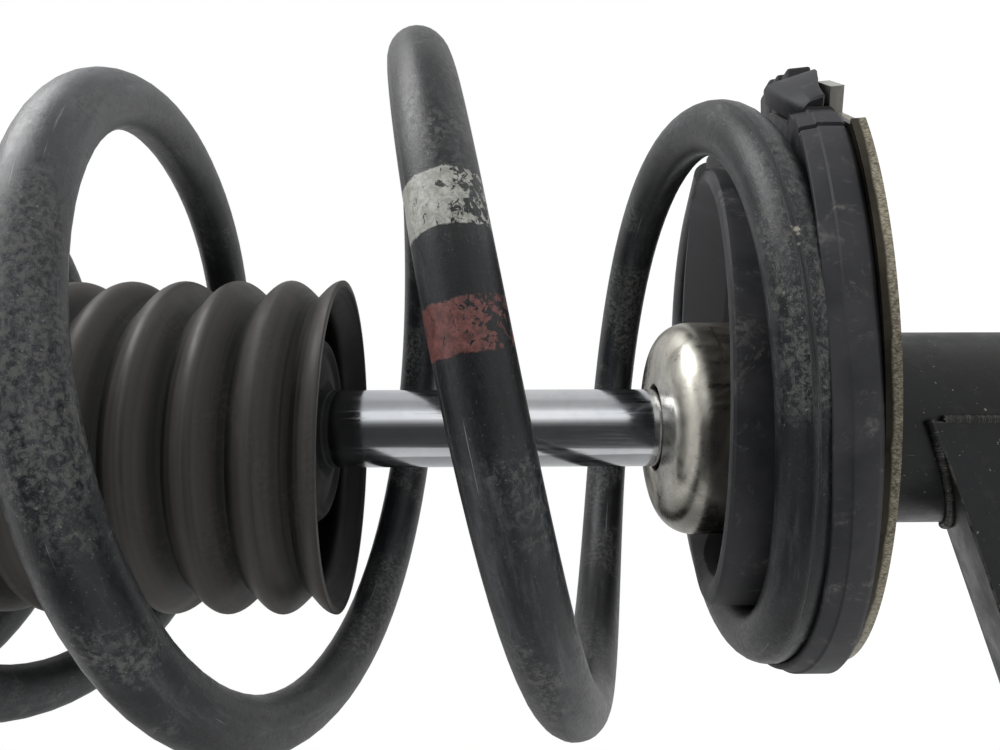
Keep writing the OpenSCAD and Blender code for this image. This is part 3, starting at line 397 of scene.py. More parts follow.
def spring_coating():
    f = Finish("spring_coating", Specular_IOR_Level=0.4)
    along, around = (f.add("Attribute", output="Fac", attribute_name=name)
                     for name in ("along_wire", "round_wire"))
    turn = f.times(around, 2 * pi)
    wire = f.add("CombineXYZ", {"X": f.times(f.reckon("COSINE", turn), WIRE_R * MM),
                                "Y": f.times(f.reckon("SINE", turn), WIRE_R * MM), "Z": along})
    cloud = f.noise(30, 7, 0.62, 0.6, wire)
    fine = f.noise(760, 9, 0.78, 0.4, wire)
    speck = f.noise(1700, 4, 0.65, 0.0, wire)
    streaks = f.noise(190, 6, 0.7, 0.2, f.stretch((1, 1, 0.16), wire))
    scratches = f.noise(60, 4, 0.6, 0.2, f.stretch((30, 30, 0.5), wire))
    f.ground(cloud, 0.35, 0.68, "17191c", "292b2f")
    f.layer(f.levels(streaks, 0.50, 0.72), "515356", 0.7)
    f.layer(f.levels(streaks, 0.47, 0.36), "0d0e11", 0.8)
    handled = f.times(f.levels(along, 1.19, 1.26), f.levels(along, 1.40, 1.28))
    f.layer(f.times(handled, f.levels(streaks, 0.42, 0.60, 0.4, 0.7)), "5f6164")
    rubbed = f.times(f.levels(cloud, 0.46, 0.60), f.levels(fine, 0.46, 0.58))
    f.layer(rubbed, "676863", 0.65)
    pits = f.times(f.levels(fine, 0.47, 0.38), f.levels(cloud, 0.40, 0.60, 0.3, 0.9))
    f.layer(pits, "101215")
    dots = f.times(f.levels(speck, 0.62, 0.70), f.levels(cloud, 0.40, 0.60, 0.15, 0.6))
    f.layer(dots, "8f8f8c")
    f.layer(f.levels(scratches, 0.69, 0.72), "9a9c9c", 0.6)
    # The stripes have ragged ends and flake off in gouges, most of all on the wire's underside
    ragged = f.plus(along, f.times(f.minus(f.noise(500, 4, 0.6, 0, wire), 0.5), 0.0016))
    gouges = f.noise(420, 5, 0.7, 0.5, f.stretch((1, 1, 0.3), wire))
    flakes = f.noise(620, 6, 0.72, 0.8, wire)
    under = f.levels(f.add("SeparateXYZ", {"Vector": f.facing()}, "Z"), 0.5, -0.8)
    lost = f.most(f.levels(gouges, 0.64, 0.66),
                  f.levels(f.plus(flakes, f.times(under, 0.16)), 0.62, 0.65))
    film = 0.0
    for start, end, worn, fresh in STRIPES:
        band = f.times(f.levels(ragged, start, start + 0.0004),
                       f.levels(ragged, end, end - 0.0004))
        left = f.times(band, f.minus(1.0, lost))
        f.layer(left, f.mix(f.levels(fine, 0.4, 0.62), worn, fresh), 0.93)
        film = f.most(film, left)
    for *place, size in CHIPS:
        gap = f.plus(f.vector("DISTANCE", f.place, place), f.times(speck, 0.0020))
        f.layer(f.levels(gap, size + 0.0010, size + 0.0008), "b5ada0", 0.8)
    return f.done(f.levels(f.plus(fine, f.times(cloud, 0.5)), 0.5, 1.05, 0.26, 0.56),
                  (cloud, 0.0003, 0.3), (fine, 0.00014, 0.6), (streaks, 0.00010, 0.5),
                  (speck, 0.00004, 0.5), (film, 0.00006, 0.7))


FINISHES["spring_coating"] = spring_coating()
print("stripes:", len(STRIPES), " chips:", len(CHIPS))

# %% [markdown]
# ## Rubber, foam and plastic
#
# The boot is a matt, warm dark grey with fine rings from its mould and patches of dust; its
# valleys are painted darker than its crests and its inside near black, as painted shade. The pads
# are harder, greyer and scuffed, and the lower pad's collar carries a patch of painted light. The
# bump stop is foam, whose skin has tiny open cells, painted near black: partly its own tone,
# partly painted shade inside the boot. Each could have a tree of its own, but only the boot needs
# one;
# the others share a recipe.

# %% Rubber finishes
def rubber(name, dark, light, dust, speck, rough, painted_light_patch=None):
    """Matt rubber; the last argument is a place, a direction and a radius for a paler patch of
    painted light.
    """
    f = Finish(name, Specular_IOR_Level=0.35)
    cloud = f.noise(70, 6, 0.6, 0.3)
    fine = f.noise(speck, 6, 0.65)
    f.ground(cloud, 0.35, 0.7, dark, light)
    scuff = f.times(f.levels(f.noise(120, 8, 0.75, 1.2), 0.52, 0.68), f.levels(fine, 0.42, 0.6))
    f.layer(scuff, dust, 0.6)
    if painted_light_patch:
        centre, side, radius = painted_light_patch
        way, reach = f.offset(centre)
        # Painted light: a paler tone inside the radius, on the side that the direction points to
        painted_light_share = f.times(f.levels(reach, radius + 0.0006, radius - 0.0004),
                       f.levels(f.vector("DOT_PRODUCT", way, side), -0.010, 0.020))
        f.layer(painted_light_share, "77767a", 0.8)
    return f.done(f.levels(cloud, 0.3, 0.75, *rough), (cloud, 0.0003, 0.3), (fine, 0.00006, 0.6))


def boot_rubber():
    f = Finish("boot_rubber", Specular_IOR_Level=0.4)
    fold = f.add("Attribute", output="Fac", attribute_name="fold")
    cloud = f.noise(50, 6, 0.6, 0.3)
    fine = f.noise(700, 6, 0.65)
    rings = f.noise(1.0, 3, 0.6, 0.0, f.stretch((6, 6, 900)))
    # Painted shade: the valleys of the bellows are painted darker than its crests
    f.ground(fold, 0.1, 0.9, "151413", "3a3734")
    f.layer(f.levels(rings, 0.42, 0.68), "4b4845", 0.3)
    f.layer(f.levels(rings, 0.48, 0.32), "201f1e", 0.3)
    f.layer(f.times(f.levels(cloud, 0.45, 0.7), f.levels(fine, 0.42, 0.62)), "5c5853", 0.22)
    # Painted shade: the inside of the bellows is painted near black, its lower inner edge a little
    # darker
    f.layer(f.levels(fold, -0.1, -0.6), "0d0c0c")
    return f.done(f.levels(f.plus(cloud, f.times(rings, 0.5)), 0.5, 1.0, 0.42, 0.66),
                  (cloud, 0.0003, 0.3), (rings, 0.00016, 0.6), (fine, 0.00005, 0.5))


# Dark and light tone, tone of the dust, scale of the grain, roughness
RUBBERS = {
    "dark_rubber": ("26272a", "39393c", "6c6b68", 620, (0.5, 0.72)),
    # The foam is painted near black: partly its own dark tone, partly painted shade for the inside
    # of the boot
    "foam_rubber": ("080808", "0f0f0f", "1b1a19", 1400, (0.7, 0.9)),
    "bearing_plastic": ("1b1c1e", "292a2c", "4d4e50", 900, (0.4, 0.55)),
    "cage_plastic": ("c9c2a8", "d8d2bb", "b0a98e", 900, (0.35, 0.5)),
    "band_plastic": ("4a3b2c", "5d4b39", "6d5c4a", 900, (0.3, 0.45))}
FINISHES["boot_rubber"] = boot_rubber()
FINISHES.update({name: rubber(name, *row) for name, row in RUBBERS.items()})
print("rubbers and plastics:", len(RUBBERS) + 1)

# %% [markdown]
# ## Metals
#
# Chrome, zinc plate, raw and pressed steel differ in colour, in how blurred their reflections
# are and in the direction of their fine scratches. Anisotropic shading could spread the light
# along the scratches, but noise that is stretched also shows single lines from close by.

# %% Metal finishes
def metal(name, dark, light, rough, fine, relief=0.00003, spots=None):
    f = Finish(name, Metallic=1.0)
    grain = f.noise(fine, 6, 0.65)
    f.ground(f.noise(90, 5, 0.6, 0.2), 0.35, 0.7, dark, light)
    if spots:
        stain = f.times(f.levels(f.noise(300, 8, 0.75), 0.6, 0.68), 0.7)
        f.layer(stain, spots)
        f.metal(f.minus(1.0, stain))
    return f.done(f.levels(grain, 0.3, 0.7, *rough), (grain, relief, 0.6))


def chrome():
    """Hard chrome on the sliding length; the threaded ends beyond it are plain steel."""
    f = Finish("chrome", Metallic=1.0)
    height = f.add("SeparateXYZ", {"Vector": f.place}, "Z")
    plain = f.most(f.levels(height, -0.0174, -0.0171), f.levels(height, -0.3512, -0.3517))
    polish = f.noise(2600, 4, 0.6, 0.0, f.stretch((1, 1, 0.02)))
    rubbed = f.noise(700, 6, 0.7, 0.0, f.stretch((1, 1, 0.05)))
    f.ground(f.noise(60, 5, 0.6), 0.35, 0.7, "d3d6db", "e4e6e9")
    f.layer(f.levels(rubbed, 0.60, 0.72), "8e9196", 0.35)
    f.layer(plain, "85847f")
    sheen = f.levels(f.plus(polish, f.times(rubbed, 0.4)), 0.5, 0.9, 0.06, 0.17)
    return f.done(f.most(sheen, f.times(plain, 0.38)), (polish, 0.000004, 0.5))


def cap_steel():
    """Oiled, drawn steel: glossy where the oil film is even, duller in patches."""
    f = Finish("cap_steel", Metallic=1.0)
    film = f.noise(45, 5, 0.6, 0.8)
    drawn = f.noise(520, 6, 0.65, 0.0, f.stretch((1, 1, 0.12)))
    f.ground(film, 0.36, 0.66, "9a978f", "dbd8cd")
    f.layer(f.levels(drawn, 0.56, 0.74), "6b6962", 0.45)
    f.layer(f.worn_edge(0.0012), "d2cdbf", 0.6)
    return f.done(f.levels(f.plus(film, f.times(drawn, 0.5)), 0.5, 1.0, 0.2, 0.44),
                  (film, 0.0005, 0.3), (drawn, 0.00003, 0.5))


def seat_steel(normal, centre, lug):
    """Pressed steel; its sheared rim is bright, with grain across the sheet, and a band of painted
    shade runs along the rim's upper edge.
    """
    f = Finish("seat_steel", Metallic=0.9)
    cloud = f.noise(70, 6, 0.65, 0.4)
    fine = f.noise(900, 6, 0.7)
    grain = f.noise(3400, 5, 0.6, 0.0, f.stretch((1, 1, 0.45)))
    f.ground(cloud, 0.36, 0.68, "565145", "8d8673")
    f.layer(f.levels(fine, 0.52, 0.7), "3a3730", 0.4)
    way, reach = f.offset(centre)
    lift = f.vector("DOT_PRODUCT", way, normal)
    torn = f.plus(lift, f.times(f.minus(cloud, 0.5), 0.0016))
    # Painted shade: a dark band on the upper part of the sheared rim, next to the pad
    painted_edge_shade = f.times(f.levels(torn, 0.0012, 0.0018), f.levels(reach, 0.068, 0.0715))
    f.layer(painted_edge_shade, "25221e", 0.85)
    sheared = f.times(f.levels(torn, 0.0018, 0.0011), f.levels(reach, 0.064, 0.066))
    bright = f.mix(f.levels(grain, 0.34, 0.68), "6f6a5c", "b9b29f")
    f.layer(sheared, f.mix(f.times(f.levels(fine, 0.48, 0.60), 0.5), bright, "504a3d"))
    plated = f.levels(f.vector("DISTANCE", f.place, lug), 0.0105, 0.0095)
    f.layer(plated, "b9b8b2", 0.8)
    return f.done(f.levels(f.plus(grain, f.times(cloud, 0.3)), 0.4, 0.9, 0.3, 0.5),
                  (grain, 0.00005, 0.6), (fine, 0.00004, 0.5))


# Dark and light tone, roughness, scale of the grain, its depth in metres, tone of stains
METALS = {
    "raw_steel": ("7d776c", "a59d8e", (0.3, 0.5), 800, 0.00006, "4a443a"),
    "zinc_steel": ("a7a8a4", "c9cac6", (0.25, 0.42), 900, 0.00004, "8d8c80"),
    "bearing_steel": ("b9babc", "cfd0d2", (0.08, 0.16), 1500),
    "sintered_iron": ("55534f", "74726d", (0.45, 0.6), 1600, 0.00008),
    "bronze": ("8a6a3c", "a9854e", (0.25, 0.4), 900)}
FINISHES.update(chrome=chrome(), cap_steel=cap_steel())
FINISHES.update({name: metal(name, *row) for name, row in METALS.items()})
print("finishes:", len(FINISHES))

# %% [markdown]
# ## Pieces that keep their construction mesh
#
# Cast, turned and sheared steel parts have small broken edges that catch the light. They could
# be built again with rounder corners, but Weld, Bevel and Weighted Normal modifiers do the same
# and leave the mesh itself alone.

# %% Finishes on the kept meshes
NODE_SLOT = {part["node"]: part["material_slot"] for part in frame["record"]["subparts"]}
for node, obj in frame["nodes"].items():
    obj.data.materials.clear()
    obj.data.materials.append(FINISHES[NODE_SLOT[node]])
print("dressed", len(NODE_SLOT), "nodes")

# %% Softened edges
EDGE_WIDTH = {0.2: ("bearing_cage",), 0.25: ("piston", "rebound_ring"),
              0.3: ("bearing_lower_race", "rod_nut", "rebound_washer", "top_mount_sleeve",
                    "piston_nut", "rod_guide"),
              0.4: ("strut_tube", "bearing_upper_race", "bump_stop_cup"),
              0.5: ("top_mount_plate", "upper_spring_seat", "base_cap"),
              0.55: ("lower_spring_seat",), 0.6: ("hose_bracket", "clevis_web"),
              0.7: ("link_bracket",), 0.8: ("knuckle_clevis",)}
for width, nodes in EDGE_WIDTH.items():
    for node in nodes:
        modifiers = frame["nodes"][node].modifiers
        modifiers.new("join", "WELD").merge_threshold = 1e-6
        edge = modifiers.new("edge", "BEVEL")
        edge.width, edge.segments, edge.limit_method = width * MM, 2, "ANGLE"
        edge.angle_limit, edge.harden_normals = radians(32), True
        modifiers.new("flow", "WEIGHTED_NORMAL").keep_sharp = True
print("softened", sum(map(len, EDGE_WIDTH.values())), "nodes")

# %% [markdown]
# ## The tilted seat
#
# The lower seat is a pressed plate that lies tilted on the tube. Its sheared rim, its plated lug
# and a band of painted shade along the rim's upper edge could be materials of their own, but
# they have no clean border on the mesh, so the finish finds them by their place. Pad, block and
# welds stand on the same plane, which is therefore written down once.

# %% The seat's plane and finish
SEAT = Sizes(x=17.6, y=9.0, z=-292.3, r=76.7, t=2.8)
SEAT_CENTRE = np.array([SEAT.x, SEAT.y, SEAT.z])
TILT, HIGH = 12.0, -32.0
lean, side = radians(TILT), radians(HIGH)
SEAT_UP = (-sin(lean) * cos(side), -sin(lean) * sin(side), cos(lean))


def seat_level(lift):
    """The height over each place of a plane that lies parallel to the seat."""
    return lambda x, y: (SEAT.z + (lift - (x - SEAT.x) * SEAT_UP[0] - (y - SEAT.y) * SEAT_UP[1])
                         / SEAT_UP[2])


seat_face = seat_level(SEAT.t)
lug_x, lug_y, _ = SEAT_CENTRE + polar(70, radians(17.5), 0)
lug = [c * MM for c in (lug_x, lug_y, seat_level(0)(lug_x, lug_y))]
frame["nodes"]["lower_spring_seat"].data.materials[0] = seat_steel(SEAT_UP, SEAT_CENTRE * MM, lug)


def place(obj, body, slot, *nodes):
    """Gives a finished piece its finish, its body and the nodes it stands for."""
    if not obj.data.materials:
        obj.data.materials.append(FINISHES[slot])
    if body:
        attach(obj, body)
    if nodes:
        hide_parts(*nodes)
    obj.data.calc_loop_triangles()
    print(f"{obj.name}: {len(obj.data.loop_triangles)} triangles")
    return obj


print("the seat's lug is at", [round(c, 4) for c in lug])

# %% [markdown]
# ## The spring's path
#
# The wire starts in the lower pad, lies almost flat for most of a turn, opens into wide turns
# that bow outwards, and closes again under the upper seat. A Screw modifier makes only even
# turns, so the path is a formula of the angle that the wire has wound through: a radius, a
# height and a centre line that leans and bows.

# %% The path of the wire
COIL = Sizes(tip=80.0, sweep=1680.0, seat_r=64.8, belly_r=76.2, top_r=69.9, x=SEAT.x - 3.1,
             y=SEAT.y - 5.3, ref=330.0, ref_z=SEAT.z + 30.8, dead=3.6, closing=20.0, bow=21.8,
             bow_angle=radians(-29.0), tilt=radians(5.0), top_z=-32.5 - WIRE_R)
# Starts and widths in degrees, where the pitch opens and closes and the radius grows and shrinks
OPENS, CLOSES, GROWS, SHRINKS = (248, 96), (1320, 195), (345, 213), (907, 304)


def smooth(start, width, x):
    t = np.clip((np.asarray(x, float) - start) / width, 0, 1)
    return t * t * (3 - 2 * t)


def smooth_sum(start, width, x):
    """The area under smooth() up to x."""
    x = np.asarray(x, float)
    t = np.clip((x - start) / width, 0, 1)
    return width * (t ** 3 - t ** 4 / 2) + np.maximum(0, x - start - width)


def opened(a):
    return (smooth_sum(*OPENS, a) - smooth_sum(*OPENS, COIL.ref)) / 360


def closed(a):
    return smooth_sum(*CLOSES, a) / 360


COIL.height = COIL.top_z - COIL.ref_z
COIL.open = ((COIL.height - COIL.dead * (COIL.sweep - COIL.ref) / 360
              + COIL.dead * opened(COIL.sweep) - COIL.closing * closed(COIL.sweep))
             / (opened(COIL.sweep) - closed(COIL.sweep)))


def coil_rise(a):
    a = np.asarray(a, float)
    return (COIL.dead * (a - COIL.ref) / 360 + (COIL.open - COIL.dead) * opened(a)
            - (COIL.open - COIL.closing) * closed(a)
            - (14 - COIL.dead) * smooth_sum(-160, 60, -a) / 360)


def coil_point(a):
    """Places of the wire's centre, in mm, for angles in degrees."""
    a = np.asarray(a, float)
    r = (COIL.seat_r + (COIL.belly_r - COIL.seat_r) * smooth(*GROWS, a)
         - (COIL.belly_r - COIL.top_r) * smooth(*SHRINKS, a))
    u = np.clip(coil_rise(a) / COIL.height, 0, 1)
    bow = COIL.bow * np.sin(pi * np.clip((a - 230) / 1200, 0, 1))
    back = 1 - smooth(1250, 350, a)
    turn = np.radians(a + COIL.tip)
    out = bow * cos(COIL.bow_angle) + r * np.cos(turn)
    x = back * (COIL.x - 19.5 * u) + out
    y = back * COIL.y + bow * sin(COIL.bow_angle) + r * np.sin(turn)
    lean = tan(COIL.tilt) * (1 - smooth(1150, 380, a))
    return np.stack([x, y, COIL.ref_z + coil_rise(a) + lean * out], -1)


RINGS = 72
angles = np.linspace(0, COIL.sweep, round(COIL.sweep / 360 * RINGS) + 1)
path = coil_point(angles)
# Each end runs straight on by a wire's thickness and closes with a narrow last ring
first, last = (step / np.linalg.norm(step) * WIRE_R * 2
               for step in (path[0] - path[1], path[-1] - path[-2]))
path = np.array([path[0] + first, path[0] + 0.97 * first, *path, path[-1] + 0.97 * last,
                 path[-1] + last])

# %% [markdown]
# ## Growing shapes with node trees
#
# Geometry Nodes suit whatever repeats or follows a line: the wire of the spring and the weld
# beads. A curve object with a bevel could make the wire too, but a tree can also store for the
# finish where along and round the wire each point lies. The tree runs on a base mesh, its
# result is turned into a plain mesh, and the modifier goes away again.

# %% Tree builder
class Tree(Nodes):
    """A geometry node tree with named inputs."""
    family = "GeometryNode"

    def __init__(self, name, **inputs):
        super().__init__(bpy.data.node_groups.new(name, "GeometryNodeTree"))
        face = self.tree.interface
        face.new_socket("Base", in_out="INPUT", socket_type="NodeSocketGeometry")
        self.inputs = {key: face.new_socket(key, in_out="INPUT", socket_type="NodeSocket" + kind)
                       for key, kind in inputs.items()}
        face.new_socket("Grown", in_out="OUTPUT", socket_type="NodeSocketGeometry")
        self.given = self.node("NodeGroupInput").outputs

    def capture(self, curve, measure):
        """Keeps a measure of a curve's points, to be stored on the tube made from it."""
        keep = self.node("CaptureAttribute", {"Geometry": curve}, domain="POINT")
        keep.capture_items.new("FLOAT", measure)
        self.join(keep.inputs[measure], self.add("SplineParameter", output=measure))
        return keep.outputs[0], keep.outputs[measure]

    def finish(self, mesh):
        """Every tree ends in real geometry with its material."""
        whole = self.add("RealizeInstances", {"Geometry": mesh})
        coated = self.add("SetMaterial", {"Geometry": whole, "Material": self.given["Finish"]})
        self.node("NodeGroupOutput", {"Grown": coated})
        return self

    def grow(self, name, points, edges, finish, crisp=40, **values):
        mesh = bpy.data.meshes.new(name)
        mesh.from_pydata([tuple(p) for p in points], edges, [])
        obj = add_object(name, mesh)
        modifier = obj.modifiers.new("grow", "NODES")
        modifier.node_group = self.tree
        for key, value in {**values, "Finish": FINISHES[finish]}.items():
            modifier[self.inputs[key].identifier] = value
        graph = bpy.context.evaluated_depsgraph_get()
        grown = bpy.data.meshes.new_from_object(obj.evaluated_get(graph), depsgraph=graph,
                                                preserve_all_data_layers=True)
        obj.modifiers.clear()
        obj.data = grown
        shade(grown, crisp)
        return obj


def chain(points, closed=False):
    """Edges that join points in a row."""
    edges = [(i, i + 1) for i in range(len(points) - 1)]
    return edges + ([(len(points) - 1, 0)] if closed else [])


print("a closed chain of 5 points has", len(chain(range(5), True)), "edges")

# %% The wire tree
def wire_tree():
    t = Tree("wire_along_path", Radius="Float", Sides="Int", Finish="Material")
    line = t.add("SetCurveNormal", {"Curve": t.add("MeshToCurve", {"Mesh": t.given["Base"]})})
    ring = t.add("CurvePrimitiveCircle", {"Resolution": t.given["Sides"],
                                          "Radius": t.given["Radius"]})
    line, along = t.capture(line, "Length")
    ring, around = t.capture(ring, "Factor")
    tube = t.add("CurveToMesh", {"Curve": line, "Profile Curve": ring, "Fill Caps": True})
    for name, value in (("along_wire", along), ("round_wire", around)):
        tube = t.add("StoreNamedAttribute", {"Geometry": tube, "Name": name, "Value": value},
                     data_type="FLOAT", domain="POINT")
    return t.finish(tube)


spring = wire_tree().grow("spring_wire", path * MM, chain(path), "spring_coating",
                          Radius=WIRE_R * MM, Sides=28)
print("wire:", len(spring.data.vertices), "points")

# %% [markdown]
# ## How the spring closes
#
# When the wheel rises, the lower seat carries the dead turn with it, the upper turns stay
# where they are, and each free turn in between closes by an equal share of its gap. A blend by
# height would squash the wire itself. Here every ring of the wire is given one share, worked out
# from the room between its turns, so that the wire would keep its round section; the shares are
# only computed and do not move the wire.

# %% Spring travel
STOP_PITCH = 19.0
pitch = np.gradient(coil_rise(angles), angles) * 360
room = np.maximum(0, pitch - STOP_PITCH)
share = np.cumsum((room[1:] + room[:-1]) / 2)
share = np.concatenate([[0, 0, 0], share / share[-1], [1, 1]])
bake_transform(spring)
along = np.zeros(len(spring.data.vertices), np.float32)
spring.data.attributes["along_wire"].data.foreach_get("value", along)
place(spring, None, "spring_coating", "coil_spring")
print("free room between turns", round(float(np.trapz(room, angles) / 360)), "mm")

# %% [markdown]
# ## Spring pads
#
# The lower pad is a moulded rubber ring on the tilted seat. Its groove is shaped like the
# spring's first turn, a collar stands inside the turn and a stepped block hangs over the
# seat's rim. A Boolean could cut the groove but leaves ragged edges. The ring is lofted instead
# from one rounded section per step round the seat, and the heights in each section come from
# the spring's own formula.

# %% The lower pad's section
GAP = 0.3
LIP_R = COIL.seat_r + WIRE_R + GAP
WALL_R = COIL.seat_r - WIRE_R - GAP - 0.4
# From here on the section belongs to the pocket of the wire's tip
POCKET = 360 - 11.6
# Shallow grooves across the outer wall beside the block: angle, half width and depth
KEY_GROOVES = ((4.2, 0.25, 1.1), (9.0, 0.25, 1.1), (10.9, 1.3, 1.3))


def apart(az, other=0):
    """The angle from one direction to another, between -180 and 180 degrees."""
    return (az - other + 180) % 360 - 180


def band(x, start, rise, end, fall):
    """1 between two levels, with soft ends."""
    return smooth(start, rise, x) * (1 - smooth(end, fall, x))


def on_ramp(r, a, h):
    """A place from radius and angle round the coil and height over the seat's face."""
    x, y = COIL.x + r * cos(a), COIL.y + r * sin(a)
    return x, y, seat_face(x, y) + h


def collar_z(x, y):
    """Height of the collar's upper edge, a plane that leans less than the seat."""
    aim = radians(-40)
    return -262 + tan(radians(9.6)) * ((x - COIL.x) * cos(aim) + (y - COIL.y) * sin(aim))


def wire_floor(turn):
    x, y, z = coil_point(turn)
    return z - WIRE_R - GAP - seat_face(x, y)


def pad_groove(turn):
    if turn > POCKET:
        return max(2, wire_floor(0.0) - 0.3)
    limit = 10 + 12 * smooth(336, 8, turn) if turn > 248 else inf
    return max(2, min(limit, wire_floor(turn)))


def pad_edge(az):
    """Radius of the outer wall, which follows the seat's rim."""
    a = radians(az)
    dx, dy = SEAT.x - COIL.x, SEAT.y - COIL.y
    along, across = dx * cos(a) + dy * sin(a), dx * sin(a) - dy * cos(a)
    r = (SEAT.r - 1.4 - 1.9 * band(apart(az), -100, 30, 20, 20)
         + 4.4 * max(0, -cos(radians(az - 50))))
    edge = min(COIL.seat_r + WIRE_R + 5.2, along + sqrt(r * r - across * across))
    return max(edge, LIP_R + 1.9)


def pad_section(az):
    """Corners (radius, height over the seat, rounding) of the pad's section."""
    turn = (az - COIL.tip) % 360
    floor = pad_groove(turn)
    outer = pad_edge(az)
    x, y, _ = coil_point(turn)
    swing = hypot(x - COIL.x, y - COIL.y) + WIRE_R + GAP
    lip_in = LIP_R + max(0, swing - LIP_R) * (1 - smooth(4, 3, wire_floor(turn) - floor))
    if turn > POCKET:
        lip_in = LIP_R + 1.6
    top = floor + 4 * min(1, max(0, (outer - lip_in) / 1.8))
    if turn > 190:
        top += (9.6 - top) * smooth(190, 70, turn)
    lip = min(lip_in, outer - 2.4)
    for at, half, depth in KEY_GROOVES:
        outer -= depth * (1 - smooth(half, 0.3, abs(apart(az, at))))
    # The wall is set back behind the block
    outer -= 5.0 * band(az, 12, 2, 56, 5)
    lip = min(lip, outer - 1.6)
    x, y, _ = on_ramp(WALL_R, radians(az), 0)
    rim = max(floor + 5, collar_z(x, y) - seat_face(x, y))
    inner = WALL_R - 7
    # The far half of the collar is cut back inside, so that it flares towards the cap
    cut = band(az, 20, 40, 175, 45)
    # The outer wall has a fine step near its top and stands a little clear of the seat
    return [(inner, 0, 0.8), (inner, rim - 2.4 - 11 * cut, 0.8),
            (inner + 2.4 + 3.0 * cut, rim, 1.4), (WALL_R, rim, 2.0), (WALL_R, floor + 3, 0.8),
            (WALL_R + 2.5, floor, 0.8), (lip - 2, floor, 0.6), (lip, top, 0.5),
            (outer - 1.1, top, 0.6), (outer - 0.45, top - 3.2, 0.3), (outer, top - 3.5, 0.2),
            (outer, 1.0, 0.7), (outer - 0.9, 0.01, 0.3)]


azimuths = sorted({round(a, 2) for a in [*np.arange(0, 360, 1.5), *np.arange(3, 14, 0.2)]})
pad_ring = loft("lower_pad", pad_section, azimuths, on_ramp)
print("sections round the lower pad:", len(azimuths))

# %% [markdown]
# The block keys the pad into a notch of the seat. Sculpting would make it soft, and the real
# one is plainly stepped, so it is made of boxes with rounded edges and one stack of sections.

# %% The lower pad's block
def turn_of(axis, angle):
    return Matrix.Rotation(radians(angle), 3, axis)


def leaned(axis_angle, lean):
    """The turn that leans upright things towards an angle on the level."""
    turn = turn_of("Z", axis_angle)
    return np.array(turn @ turn_of("Y", lean) @ turn.transposed()).T


def on_seat(points):
    """Moves points from the seat's own level frame to its tilted place."""
    return points @ leaned(HIGH, -TILT) + SEAT_CENTRE


def turned_to(points, angle):
    return np.asarray(points) @ np.array(turn_of("Z", angle)).T


def on_block(points):
    """The stepped block's frame: outwards, along the rim and up from the seat's face."""
    return on_seat(turned_to(points + np.array([SEAT.r - 16, 0, SEAT.t]), 44))


# Low corner, size and rounding of the block's four steps
BLOCK = (((0, -4, -2), (14.4, 16, 9.0), 1.2), ((0, -1, -6), (16, 10, 12.6), 1.0),
         ((0, -12, 0), (14, 9, 6.5), 0.7), ((0, -20, 0), (13.2, 9, 5.5), 0.7))
# The block's near length: seat angle, outer radius low and high, height low and high, top
KEY = ((7.9, 75.8, 74.9, 5.1, 8.3, 9.6), (10, 75.7, 74.9, 5.2, 8.4, 10.6),
       (12.2, 75.7, 74.8, 5.2, 8.6, 11.5), (14, 75.8, 74.7, 5.0, 8.8, 12.2),
       (17.6, 76.0, 74.6, 4.2, 9.4, 13.1), (22, 76.2, 74.2, 3.2, 10.4, 13.8),
       (25.2, 76.0, 74.0, 2.6, 11.4, 14.0), (25.9, 75.8, 73.8, 2.6, 9.0, 10.0),
       (42, 75.8, 74.2, 1.0, 8.2, 9.2))


def key_length(drawn_in=0.86, slope=0.5):
    """The block's near length, a stack of sections whose ends are drawn in a little."""
    near, far = KEY[0][0], KEY[-1][0]
    stack = [(near, KEY[0], drawn_in), (near + slope, KEY[0], 1),
             *((row[0], row, 1) for row in KEY[1:-1]),
             (far - slope, KEY[-1], 1), (far, KEY[-1], drawn_in)]
    rows = []
    for az, (_, r_low, r_high, low, high, top), size in stack:
        line = rounded([(68.6, low, 0.5), (68.6, top - 0.3, 0.8), (73.2, top, 1.6),
                        (r_high, high, 0.9), (r_low, low, 0.5)])
        middle = line.mean(0)
        rows += [polar(r, radians(az), h) for r, h in middle + (line - middle) * size]
    return build("key", on_seat(np.array(rows)) * MM, stack_faces(len(stack), len(line)))


blocks = [soft_box("step", low, size, edge, on_block) for low, size, edge in BLOCK]
lower_pad = merge(pad_ring, key_length(), *blocks)
# The far inner face of the lower pad's collar gets a patch of painted light, a paler tone standing
# in for the light on it
painted_light_patch = (Vector((COIL.x, COIL.y, -270)) * MM, polar(1, radians(110), 0),
         (COIL.seat_r - WIRE_R - 0.9) * MM)
lower_pad.data.materials.clear()
lower_pad.data.materials.append(rubber("pad_rubber", *RUBBERS["dark_rubber"], painted_light_patch))
place(lower_pad, "strut_body", "dark_rubber", "lower_spring_pad")

# %% [markdown]
# The upper pad is the same kind of ring, level and with its groove below. It could be turned,
# but the groove follows the wire's last turn, so the same loft makes it.

# %% Upper pad
PAD_TOP, PAD_OUTER = -29.5, 82 - 2.2 - GAP


def upper_section(az):
    end = COIL.sweep + 20
    x, y, z = coil_point(end - (COIL.tip + end - az) % 360)
    wall = min(COIL.top_r, hypot(x, y)) - WIRE_R - GAP - 0.4
    floor = min(PAD_TOP - 1.6, max(PAD_TOP - 12, z + WIRE_R + GAP))
    inner = COIL.top_r - WIRE_R - 8
    return [(inner, PAD_TOP, 0.4), (inner, floor - 7, 1.0), (wall - 1.2, floor - 7, 1.0),
            (wall, floor - 4, 0.6), (wall + 0.6, floor, 0.5), (PAD_OUTER, floor, 0.8),
            (PAD_OUTER, PAD_TOP, 0.4)]


place(loft("upper_pad", upper_section, np.arange(0, 360, 1.5)), "spring_top", "dark_rubber",
      "upper_spring_pad")

